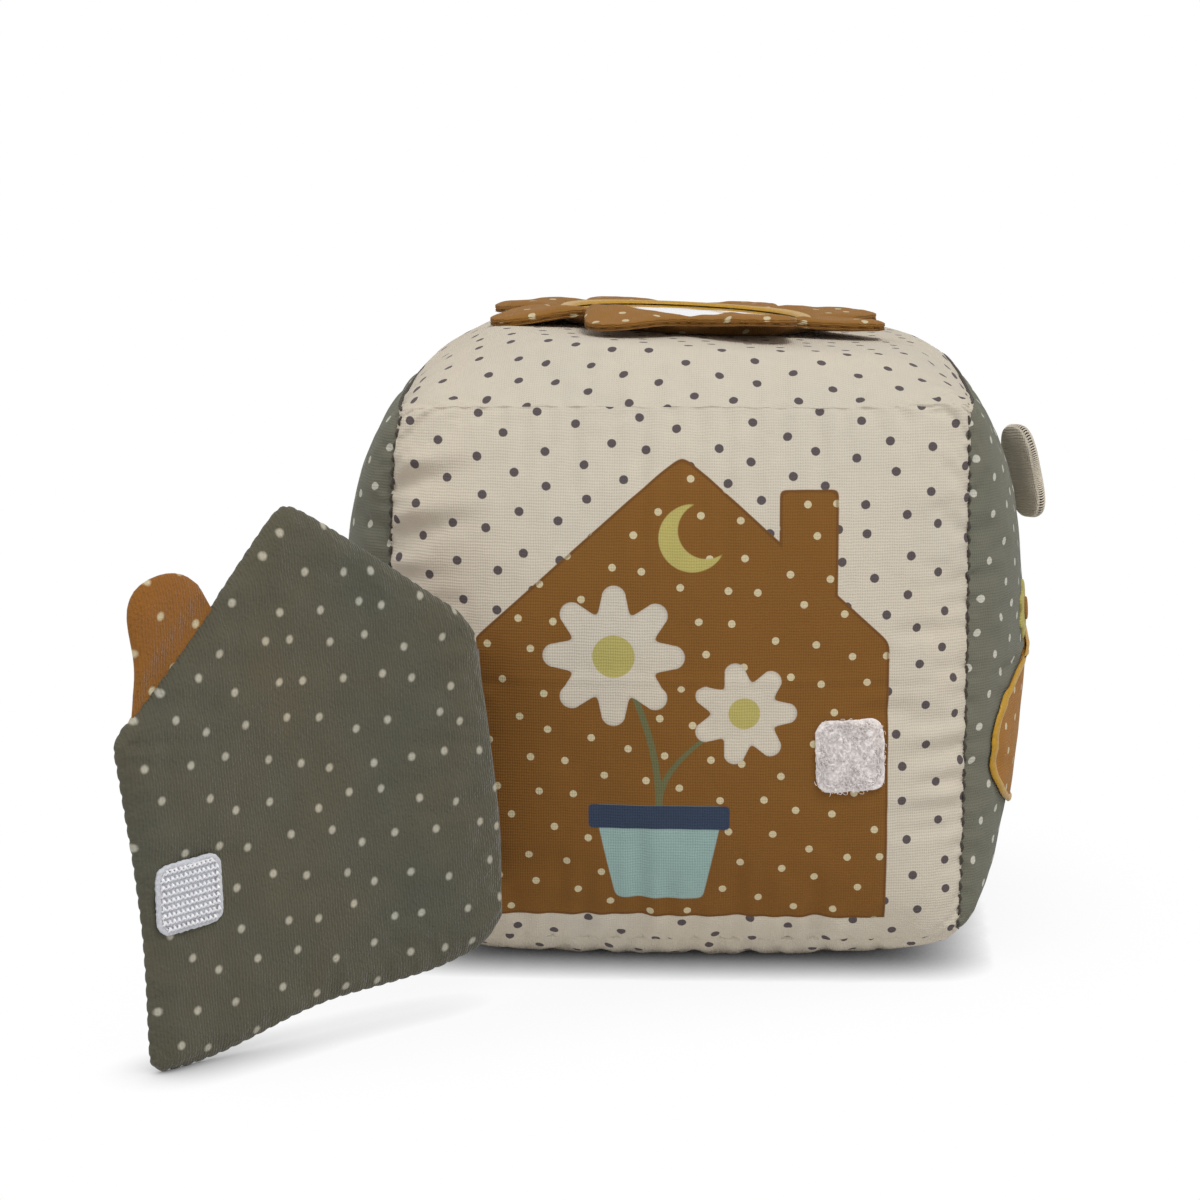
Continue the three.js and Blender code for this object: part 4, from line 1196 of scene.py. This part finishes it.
for name, side, material, slotName in (("door_lining", 1, liningVelour, "green_velour"),
                                       ("door_face", -1, ochreVelour, "ochre_velour")):
    steps = door["steps"]
    half = shapePiece(flatSlab(steps, steps), name + "Fabric",
                      lambda flat, side=side: placeDoor(flat, side), doorFabric)
    finishPiece(half, material, body="door", nodes=[name])


# Chimney tab, sewn into the roof seam

def roofAt(x):
    return door["wall"] + door["rise"] - abs(x - door["width"] / 2) * roofFall


tabFoot, tabTop = 2.6 * mm, roofAt(tabStart) + 8.3 * mm
tabOutline = roundedOutline([
    (tabStart, roofAt(tabStart) - tabFoot, 0.6 * mm), (tabEnd, roofAt(tabEnd) - tabFoot, 0.6 * mm),
    (tabEnd - 2.8 * mm, roofAt(tabEnd) + 9 * mm, 4 * mm), (tabEnd - 0.9 * mm, tabTop, 9.5 * mm),
    (tabStart + 5.0 * mm, tabTop, 7.5 * mm), (tabStart + 2.6 * mm, roofAt(tabStart) + 3 * mm, 2.4 * mm),
])
tabMiddle = np.array([75 * mm, 90 * mm])
tabRadius = radiusAt(tabOutline, tabMiddle)


def placeTab(flat):
    angle, share, upper = polar(flat)
    radius = tabRadius(angle)
    across, along = pointAt(angle, share * radius)
    x, z = tabMiddle[0] + across, tabMiddle[1] + along
    above = (z - roofAt(x)) * roofLean
    away = (1 - share) * radius
    puff = puffAt(away, 5 * mm, 1.5 * mm, 0.15 * mm)
    puff += 0.18 * mm * sheetNoise(x / (4 * mm), z / (4 * mm), 93) * smoothStep(0, 2 * mm, away)
    sewn = 0.35 * mm + 1.4 * mm * smoothStep(0, 7 * mm, above)
    y = np.minimum(puff, sewn) * np.where(upper, 1, -1)
    return doorWorld(x, doorBend(x, z) + y + 0.9 * mm * smoothStep(0, 20 * mm, above), z)


tab = shapePiece(roundSlab(96, 26), "chimneyTab", placeTab, roundFabric(tabRadius, (0.3, 0)))
finishPiece(tab, ochreVelour, body="door", nodes=["chimney_tab"])
print("door made")

# Hinge fold: the strip of lining that joins the door to the front panel
fold = {"half": 0.6 * mm, "low": 9 * mm, "high": 62 * mm, "steps": 60, "aside": 1.4 * mm}


def placeFold(flat):
    z = fold["low"] + (flat[:, 1] + 1) / 2 * (fold["high"] - fold["low"])
    root = doorWorld(0 * z, 0 * z, z)
    share = (flat[:, 0] + 1) / 2
    side = np.where(flat[:, 2] < -0.5, -1, 1) * fold["half"]
    x = root[:, 0] + side - fold["aside"]
    s, t = faceShares("front", x, root[:, 2] - cover["middle"])
    seat = panelSurface("front", s, t, -0.3 * mm)
    pucker = 0.35 * mm * lineNoise(z / (3 * mm), 77) * np.sin(share * np.pi)
    y = seat[:, 1] * (1 - share) + (root[:, 1] + 0.3 * mm) * share
    return np.stack([x + pucker, y, seat[:, 2] * (1 - share) + root[:, 2] * share], axis=-1)


strip = shapePiece(flatSlab(10, fold["steps"]), "hingeFold", placeFold,
                   lambda flat: flat[:, :2] * (5 * mm, 30 * mm))
finishPiece(strip, liningVelour, nodes=["hinge_fold"])

# Patches: hook tape on the lining and loop tape on the front
patch = {"halfX": 8 * mm, "halfZ": 7.4 * mm, "corner": 3.4 * mm, "height": 0.75 * mm, "stitchIn": 1.6 * mm}
patchCorners = [(across * patch["halfX"], along * patch["halfZ"], patch["corner"])
                for across, along in ((-1, -1), (1, -1), (1, 1), (-1, 1))]
patchRadius = radiusAt(roundedOutline(patchCorners), np.zeros(2))
hook = {"x": 79.2 * mm, "z": 32.6 * mm, "turn": math.radians(2.5)}
loop = {"x": 36.6 * mm, "z": -15.6 * mm, "turn": math.radians(2), "wide": 0.94, "high": 1.08}


def turned(x, y, angle):
    return x * math.cos(angle) - y * math.sin(angle), x * math.sin(angle) + y * math.cos(angle)


def onLining(p, q, lift):
    p, q = turned(p, q, hook["turn"])
    x = hook["x"] + p
    z = hook["z"] + q + x * droopSlope
    away = np.minimum(door["width"] - x, 40 * mm)
    return doorWorld(x, doorBend(x, z) + doorHeight(1, x, z, away) + lift, z)


def onSide(side, p, q, lift):
    s, t = faceShares(side, p, q)
    return panelSurface(side, s, t, lift)


def onFront(p, q, lift):
    p, q = turned(p * loop["wide"], q * loop["high"], loop["turn"])
    return onSide("front", loop["x"] + p, loop["z"] + q, lift)


def placePatch(flat, ground, seed, rough):
    angle, share, upper = polar(flat)
    radius = patchRadius(angle) + 0.12 * mm * lineNoise(angle * 14 + 50, seed)
    p, q = pointAt(angle, share * radius)
    away = (1 - share) * radius
    top = patch["height"] * (0.6 + 0.4 * quarterRound(away / (0.8 * mm)))
    top = top - 0.22 * mm * bell((away - patch["stitchIn"]) / (0.5 * mm))
    top = top + rough * sheetNoise(p / (0.5 * mm) + 30, q / (0.5 * mm) + 30, seed)
    return ground(p, q, np.where(upper, top, 0.05 * mm))


hookPatch = shapePiece(roundSlab(160, 40), "hookPatch",
                       lambda flat: placePatch(flat, onLining, 41, 0.03 * mm), roundFabric(patchRadius))
finishPiece(hookPatch, hookTape, body="door", nodes=["hook_patch"])
loopPatch = shapePiece(roundSlab(200, 60), "loopPatch",
                       lambda flat: placePatch(flat, onFront, 42, 0.3 * mm), roundFabric(patchRadius))
finishPiece(loopPatch, loopFuzz, nodes=["loop_patch"])


def roundPatch(ground, inset, stitch, gap):
    # short stitches that follow a patch's edge
    lines = []
    total = 2 * (16 + 14.8) * mm - 8 * inset
    count = int(total / (stitch + gap))
    for number in range(count):
        angles = np.linspace(number, number + stitch / (stitch + gap), 5) / count * 2 * np.pi
        heights = patch["height"] + 0.18 * mm * np.sin(np.linspace(0, np.pi, 5)) - 0.1 * mm
        lines.append(ground(*pointAt(angles, patchRadius(angles) - inset), heights))
    return lines


hooks = []
random = np.random.default_rng(61)
rowPitch, hookPitch, rows, columns = 1.5 * mm, 1.1 * mm, 9, 15
for row, column in itertools.product(range(rows), range(columns)):
    q = (row - rows // 2) * rowPitch
    p = (column - columns // 2) * hookPitch + random.uniform(-0.05, 0.05) * mm
    if np.hypot(p, q) > patchRadius(math.atan2(q, p)) - 0.9 * mm:
        continue
    bow = np.linspace(0, 1, 5)
    for way in (-1, 1):
        across = p + way * 0.42 * mm * bow
        along = q + 0.45 * mm - 0.9 * mm * bow
        hooks.append(onLining(across, along, 0.7 * mm + 0.5 * mm * np.sin(bow * np.pi)))
hookRows = threads("hookRows", hooks, 0.22 * mm)
finishPiece(hookRows, hookNylon, body="door")
hookStitches = threads("hookStitches", roundPatch(onLining, 1.2 * mm, 1.9 * mm, 0.5 * mm), 0.14 * mm)
finishPiece(hookStitches, whiteThread, body="door")

fuzz = []
hairs, hairPoints = 1400, 6
for number in range(hairs):
    angle, share = random.uniform(-math.pi, math.pi), 0.96 * math.sqrt(random.uniform(0, 1))
    p, q = pointAt(angle, patchRadius(angle) * share)
    heading = random.uniform(-math.pi, math.pi)
    length = random.uniform(0.4, 1.2) * mm
    bow = np.linspace(0, 1, hairPoints)
    bend = random.uniform(-0.8, 0.8) * mm
    across, along = turned(length * bow, bend * np.sin(bow * np.pi), heading)
    heights = 0.6 * mm + random.uniform(0.2, 0.75) * mm * np.sin(bow * np.pi)
    fuzz.append((p + across, q + along, heights))
across, along, heights = (np.concatenate(values) for values in zip(*fuzz))
fuzzPoints = onFront(across, along, heights).reshape(hairs, hairPoints, 3)
loopHairs = threads("loopHairs", fuzzPoints, 0.055 * mm)
finishPiece(loopHairs, loopFuzz)
loopStitches = threads("loopStitches", roundPatch(onFront, patch["stitchIn"], 2.0 * mm, 0.6 * mm), 0.15 * mm)
finishPiece(loopStitches, whiteThread)
print("patches made")

# Sun: two layers of brown cotton round a mirror, with eight blunt rays that curl a little
sun = {
    "x": -1.0 * mm, "y": 8 * mm, "tip": 50.4 * mm, "notch": 35.5 * mm, "rays": 8, "first": math.radians(25),
    "window": 28 * mm, "ring": 3.0 * mm, "ringIn": 1.2 * mm, "ringHeight": 0.6 * mm, "puff": 1.6 * mm,
    "backPuff": 0.7 * mm, "puffReach": 5 * mm, "rim": 0.2 * mm, "groove": 0.9 * mm, "fabric": 0.4 * mm,
    "stitch": 2.8 * mm, "humpStart": 27.5 * mm, "humpTop": 34 * mm, "steps": 480, "rings": 44,
}
sun["height"] = sun["puff"] + sun["rim"]
sun["depth"] = sun["backPuff"] + sun["rim"]


def roundLine(places, values, soft=9):
    # a soft line through values (mm) at some angles (degrees), all the way round
    table = np.interp(np.arange(360), places, values, period=360) * mm
    kernel = np.exp(-0.5 * (np.arange(-3 * soft, 3 * soft + 1) / soft) ** 2)
    table = np.concatenate([table[-3 * soft:], table, table[:3 * soft]])
    table = np.convolve(table, kernel / kernel.sum(), "valid")
    return lambda angle: np.interp(np.degrees(angle) % 360, np.arange(360), table, period=360)


rayLift = roundLine([25, 70, 115, 160, 205, 250, 295, 340], [1.7, 0.3, 0.0, -0.6, -1.3, 1.0, 4.3, 1.8])
humpLift = roundLine([25, 35, 48, 65, 115, 135, 152, 165, 190, 215, 248, 271, 292, 320, 345],
                     [1.6, 1.9, 1.4, 0.1, 0, 1.0, 1.4, 1.1, 0.2, 1.6, 4.0, 1.3, 4.0, 2.2, 0.7])


def sunRadius(angle):
    lobe = np.cos((angle - sun["first"]) * sun["rays"] / 2) ** 2
    spread = lobe ** 0.85 + 0.05 * lineNoise(angle * 4 + 40, 81)
    return sun["notch"] + (sun["tip"] - sun["notch"]) * spread


def sunLevel(x, y):
    # the seam's height: the disc lies on its seat, humped beside the mirror, with lifted or fallen rays
    angle, reach = np.arctan2(y, x), np.hypot(x, y)
    hump = humpLift(angle) * smoothStep(sun["humpStart"], sun["humpTop"], reach)
    ray = (rayLift(angle) - humpLift(angle)) * smoothStep(sun["humpTop"], sun["tip"], reach)
    return seatAt(sun["x"] + x, sun["y"] + y) + 0.1 * mm + sun["depth"] + hump + ray


def sunWorld(x, y, lift):
    return np.stack([sun["x"] + x, sun["y"] + y, sunLevel(x, y) + lift], axis=-1)


def sunShare(share, hole, radius):
    # a ring's shares run from the window to the edge
    if not hole:
        return share
    inner = sun["window"] / radius
    return inner + (share - hole) / (1 - hole) * (1 - inner)


def placeSun(flat, side, hole):
    angle, share, upper = polar(flat)
    radius = sunRadius(angle)
    share = sunShare(share, hole, radius)
    away = (1 - share) * radius
    bites = bitesAt(angle * 42 * mm, sun["stitch"])
    groove = sun["groove"] * (1 + 0.35 * bites) * bell(away / (0.4 * mm))
    x, y = pointAt(angle, share * radius - groove)
    height = puffAt(away, sun["puffReach"], sun["puff" if side > 0 else "backPuff"], sun["rim"])
    height = height - 0.25 * mm * bites * bell(away / (1.2 * mm))
    quilt = 0.35 * mm * sheetNoise(x / (9 * mm) + 12, y / (9 * mm) + 12, 82 + side)
    quilt += 0.22 * mm * sheetNoise(x / (3.5 * mm) + 12, y / (3.5 * mm) + 12, 84 + side)
    quilt *= 1 if side > 0 else 0.4
    inWindow = share * radius - sun["window"]
    height = height + quilt * smoothStep(0, 3 * mm, away) * smoothStep(0, 3 * mm, inWindow)
    under = np.maximum(height - sun["fabric"], 0.05 * mm)
    return sunWorld(x, y, side * np.where(upper, height, under))


def sunFabric(flat, hole):
    angle, share, upper = polar(flat)
    radius = sunRadius(angle)
    share = sunShare(share, hole, radius)
    reach = share * radius + edgeLength((1 - share) * radius, sun["puffReach"], sun["puff"])
    return np.stack(pointAt(angle, reach), axis=-1) + (0.2 if hole else 0.3, 0)


for name, side, hole in (("sun_face", 1, 0.55), ("sun_back", -1, 0.0)):
    layer = shapePiece(roundSlab(sun["steps"], sun["rings"], hole), name + "Cotton",
                       lambda flat, side=side, hole=hole: placeSun(flat, side, hole),
                       lambda flat, hole=hole: sunFabric(flat, hole))
    finishPiece(layer, sunCotton, nodes=[name])


def satinBorder(name, radius, width, height, ground, nodes):
    # a raised band of satin stitches laid across a line, as wide as its stitches are long
    hole = 0.5

    def place(flat):
        angle, share, upper = polar(flat)
        cross = (share - hole) / (1 - hole)
        ends = 0.12 * mm * lineNoise(angle * 150 + 900, 87)
        reach = radius(angle) + cross * width + ends * (cross - 0.5) * 2
        dome = np.sqrt(np.clip(1 - (2 * cross - 1) ** 2, 0, 1))
        return ground(*pointAt(angle, reach), np.where(upper, 0.15 * mm + height * dome, 0.02 * mm))

    def fabric(flat):
        angle, share, upper = polar(flat)
        table = np.linspace(-np.pi, np.pi, 720)
        length = lengthsAlong(np.stack(pointAt(table, radius(table)), axis=-1))
        return np.stack([np.interp(angle, table, length), (share - hole) / (1 - hole) * width], axis=-1)

    band = shapePiece(roundSlab(720, 10, hole), name, place, fabric)
    finishPiece(band, goldThread, nodes=nodes)


def onSun(x, y, lift):
    # over the sun's face, beside the window
    away = sunRadius(np.arctan2(y, x)) - np.hypot(x, y)
    return sunWorld(x, y, puffAt(away, sun["puffReach"], sun["puff"], sun["rim"]) + lift)


def placeInside(flat, radius, low, high):
    # a flat layer of the sun between two heights over its seam
    angle, share, upper = polar(flat)
    return sunWorld(*pointAt(angle, share * radius(angle)), np.where(upper, high, low))


ringRadius = circle(sun["window"] - sun["ringIn"])
satinBorder("mirrorRing", ringRadius, sun["ring"], sun["ringHeight"], onSun, ["mirror_ring"])
for name, radius, low, high, material, slotName, node in (
        ("sunMirror", circle(29 * mm), sun["height"] - 0.65 * mm, sun["height"] - 0.15 * mm,
         mirrorSheet, "mirror_sheet", "sun_mirror"),
        ("sunWadding", lambda angle: sunRadius(angle) - 4 * mm, -0.3 * mm, 0.7 * mm,
         fibreFilling, "fibre_filling", "sun_wadding")):
    layer = shapePiece(roundSlab(160, 24), name,
                       lambda flat, r=radius, a=low, b=high: placeInside(flat, r, a, b))
    finishPiece(layer, material, nodes=[node])
print("sun made")

# Right side: a pot with a satin border, a flower and two feet, all sewn flat
potMiddle, potRadius = (-2.2 * mm, -17.2 * mm), roundedBox(54.5 * mm, 18.5 * mm, 2.5)
potBand = {"width": 2.6 * mm, "height": 0.6 * mm, "in": 1.4 * mm}
flowerMiddle = (-33 * mm, 10.4 * mm)
foot = {"away": 28 * mm, "z": -46.8 * mm, "radius": roundedBox(7 * mm, 5 * mm, 2.4)}
feltThickness = 0.7 * mm


def petalRadius(angle):
    return 6.1 * mm + 0.9 * mm * np.cos(angle * 7)


def onRight(middle, p, q, lift):
    return onSide("right", middle[0] + p, middle[1] + q, lift)


def sewnPiece(name, radius, middle, material, nodes, steps, rings, base=0.0,
              thickness=feltThickness):
    def place(flat):
        angle, share, upper = polar(flat)
        reach = share * radius(angle)
        top = base + thickness * (0.55 + 0.45 * quarterRound((radius(angle) - reach) / (1.2 * mm)))
        return onRight(middle, *pointAt(angle, reach), np.where(upper, top, base + 0.03 * mm))

    piece = shapePiece(roundSlab(steps, rings), name, place, roundFabric(radius, middle))
    finishPiece(piece, material, nodes=nodes)


sewnPiece("potApplique", potRadius, potMiddle, ochreCottonPaintedLight, ["pot_applique"], 240, 60)
satinBorder("potBorder", lambda angle: potRadius(angle) - potBand["in"], potBand["width"], potBand["height"],
            lambda p, q, lift: onRight(potMiddle, p, q, lift + 0.5 * mm), ["pot_border"])
sewnPiece("flowerApplique", petalRadius, flowerMiddle, yellowCotton,
          ["flower_applique"], 140, 16)
sewnPiece("flowerMiddle", circle(2.6 * mm), flowerMiddle, plainSun, ["flower_middle"], 48, 10,
          feltThickness, 0.6 * mm)
for name, way in (("pot_foot_near", -1), ("pot_foot_far", 1)):
    sewnPiece(name + "Patch", foot["radius"], (way * foot["away"], foot["z"]), creamPlush,
              [name], 72, 14)
print("right side made")

# Leaf tab: a small padded ear on its sewn root, with an overcast edge
leaf = {
    "length": 12 * mm, "half": 11 * mm, "squareness": 3.0, "opening": -60, "puff": 0.8 * mm,
    "puffReach": 5 * mm, "rim": 1.0 * mm, "fabric": 0.4 * mm, "back": 3.6 * mm, "drop": 1.3 * mm,
    "wadding": 0.5 * mm, "waddingIn": 1.6 * mm, "stitchIn": 0.9 * mm, "stitchReach": 1.15 * mm,
    "stitchHalf": 1.25 * mm, "stitchTurn": 0.062,
}
leafFoot = np.array(jointPlaces["leaf_hinge"]["pos_m"])
leafAxis = unit(np.array(jointPlaces["leaf_hinge"]["axis"]))
leafOut = Vector(np.cross((0, 1, 0), leafAxis))
leafRest = np.array(Matrix.Rotation(math.radians(leaf["opening"]), 3, Vector(leafAxis)) @ leafOut)
leafSide = np.cross(leafAxis, leafRest)
leafRadius = roundedBox(leaf["length"] / 2, leaf["half"], leaf["squareness"])


def leafWorld(x, y, z):
    spot = np.stack([x + leaf["back"], y, z - leaf["drop"]], axis=-1)
    return leafFoot + spot @ np.stack([leafRest, leafSide, leafAxis])


def placeLeaf(flat, side):
    angle, share, upper = polar(flat)
    radius = leafRadius(angle)
    x, z = pointAt(angle, share * radius)
    away = (1 - share) * radius
    noise = sheetNoise(x / (4 * mm) + 9, z / (4 * mm) + 9, 95 + side)
    height = puffAt(away, leaf["puffReach"], leaf["puff"], leaf["rim"])
    height = height + 0.2 * mm * noise * smoothStep(0, 2 * mm, away)
    under = np.maximum(height - leaf["fabric"], 0.05 * mm)
    return leafWorld(x, side * np.where(upper, height, under), z)


def placeLeafWadding(flat):
    angle, share, upper = polar(flat)
    x, z = pointAt(angle, share * (leafRadius(angle) - leaf["waddingIn"]))
    return leafWorld(x, np.where(upper, 1, -1) * leaf["wadding"], z)


for name, side in (("leaf_face", 1), ("leaf_back", -1)):
    layer = shapePiece(roundSlab(120, 24), name + "Plush", lambda flat, side=side: placeLeaf(flat, side),
                       roundFabric(leafRadius, puff=(leaf["puffReach"], leaf["puff"])))
    finishPiece(layer, creamPlush, body="leaf", nodes=[name])
wadding = shapePiece(roundSlab(96, 12), "leafWadding", placeLeafWadding)
finishPiece(wadding, fibreFilling, body="leaf", nodes=["leaf_wadding"])
overcast = []
for angle in np.arange(-math.pi, math.pi, leaf["stitchTurn"]):
    turns = np.linspace(-0.62, 0.62, 7) * np.pi
    reach = leafRadius(angle) - leaf["stitchIn"] + leaf["stitchReach"] * np.cos(turns)
    x, z = pointAt(angle + 0.02 * turns, reach)
    overcast.append(leafWorld(x, leaf["stitchHalf"] * np.sin(turns), z))
edging = threads("leafEdging", overcast, 0.2 * mm)
finishPiece(edging, creamThread, body="leaf")
print("leaf made")

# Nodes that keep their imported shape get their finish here
plainNodes = [("rattle_capsule_base", capsulePlastic), ("rattle_capsule_lid", capsulePlastic),
              ("door_wadding", fibreFilling)]
for name, material in plainNodes + [(f"rattle_bead_{number}", beadPlastic) for number in range(1, 6)]:
    for place in frame["nodes"][name].material_slots:
        place.material = material

# Studio: plain pale floor, white surround, a large soft lamp, a fill and a weak side lamp
studio = {
    "lensPixels": 3380.7, "frame": 1200, "sensor": 36.0, "camera": (10.95 * mm, -795 * mm, 217.84 * mm),
    "yaw": 0.04009, "pitch": 0.18066, "roll": 0.00107, "ambient": 0.47,
}
cameraData = bpy.data.cameras.new("camera")
cameraData.sensor_width = studio["sensor"]
cameraData.lens = studio["lensPixels"] / studio["frame"] * studio["sensor"]
cameraData.clip_end = 20
camera = bpy.data.objects.new("camera", cameraData)
bpy.context.scene.collection.objects.link(camera)
yaw, pitch = studio["yaw"], studio["pitch"]
look = Vector((-math.sin(yaw) * math.cos(pitch), math.cos(yaw) * math.cos(pitch), -math.sin(pitch)))
roll = Matrix.Rotation(studio["roll"], 3, "Z").to_quaternion()
camera.rotation_mode = "QUATERNION"
camera.rotation_quaternion = look.to_track_quat("-Z", "Y") @ roll
camera.location = studio["camera"]
bpy.context.scene.camera = camera

# the floor glows white to the camera; ambient occlusion dims that glow near and under the cube, a painted
# contact shadow
floorMesh = bmesh.new()
bmesh.ops.create_grid(floorMesh, x_segments=2, y_segments=2, size=6)
floor = makeObject(floorMesh, "floor")
floorMaterial = bpy.data.materials.new("studio floor")
floorMaterial.use_nodes = True
tree = floorMaterial.node_tree
shader = tree.nodes["Principled BSDF"]
shader.inputs["Base Color"].default_value = (0.86, 0.86, 0.86, 1)
shader.inputs["Roughness"].default_value = 0.9
shader.inputs["Specular IOR Level"].default_value = 0.2
near, wide = (addNode(tree, "AmbientOcclusion", {"Distance": reach}, "AO", samples=12)
              for reach in (0.012, 0.09))
# painted contact shadow: the glow falls where ambient occlusion finds the cube close
floorGlowWithPaintedShadow = maths("POWER", near, 0.9) * maths("MINIMUM", 1.0, 0.86 + wide * 0.18)
choices = {0: addNode(tree, "LightPath", output="Is Camera Ray"), 1: Value(shader.outputs[0]),
           2: addNode(tree, "Emission", {"Color": (1, 1, 1, 1), "Strength": floorGlowWithPaintedShadow})}
feed(tree.nodes["Material Output"].inputs["Surface"], addNode(tree, "MixShader", choices))
floor.data.materials.append(floorMaterial)
floor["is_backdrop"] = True

# the surround is white to the eye and in mirrors, and lights the cube more softly
world = bpy.data.worlds.new("studio")
bpy.context.scene.world = world
world.use_nodes = True
background = world.node_tree.nodes["Background"]
rays = addNode(world.node_tree, "LightPath", output="Is Camera Ray")
mirrored = maths("MAXIMUM", rays.out("Is Glossy Ray"), rays.out("Is Transmission Ray"))
seen = maths("MAXIMUM", rays, mirrored)
feed(background.inputs["Strength"], studio["ambient"] + seen * (1 - studio["ambient"]))
background.inputs["Color"].default_value = (1, 1, 1, 1)

lampTarget = Vector((0, 0, 0.07))
lamps = [  # name, place, size, power
    ("key", (0.55, -0.9, 1.8), 0.9, 22.5),
    ("fill", (-1.5, -0.9, 0.8), 1.2, 3),
    ("side", (-1.6, 0.25, 0.7), 0.9, 2),
]
for name, place, width, power in lamps:
    data = bpy.data.lights.new(name, "AREA")
    data.shape = "DISK"
    data.size = width
    data.energy = power
    lamp = bpy.data.objects.new(name, data)
    bpy.context.scene.collection.objects.link(lamp)
    lamp.location = place
    lamp.rotation_mode = "QUATERNION"
    lamp.rotation_quaternion = (lampTarget - Vector(place)).to_track_quat("-Z", "Y")
bpy.context.scene.view_settings.view_transform = "Standard"

size = {"cad": cadBox, "visual": [list(corner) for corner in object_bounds()]}
print("studio ready")
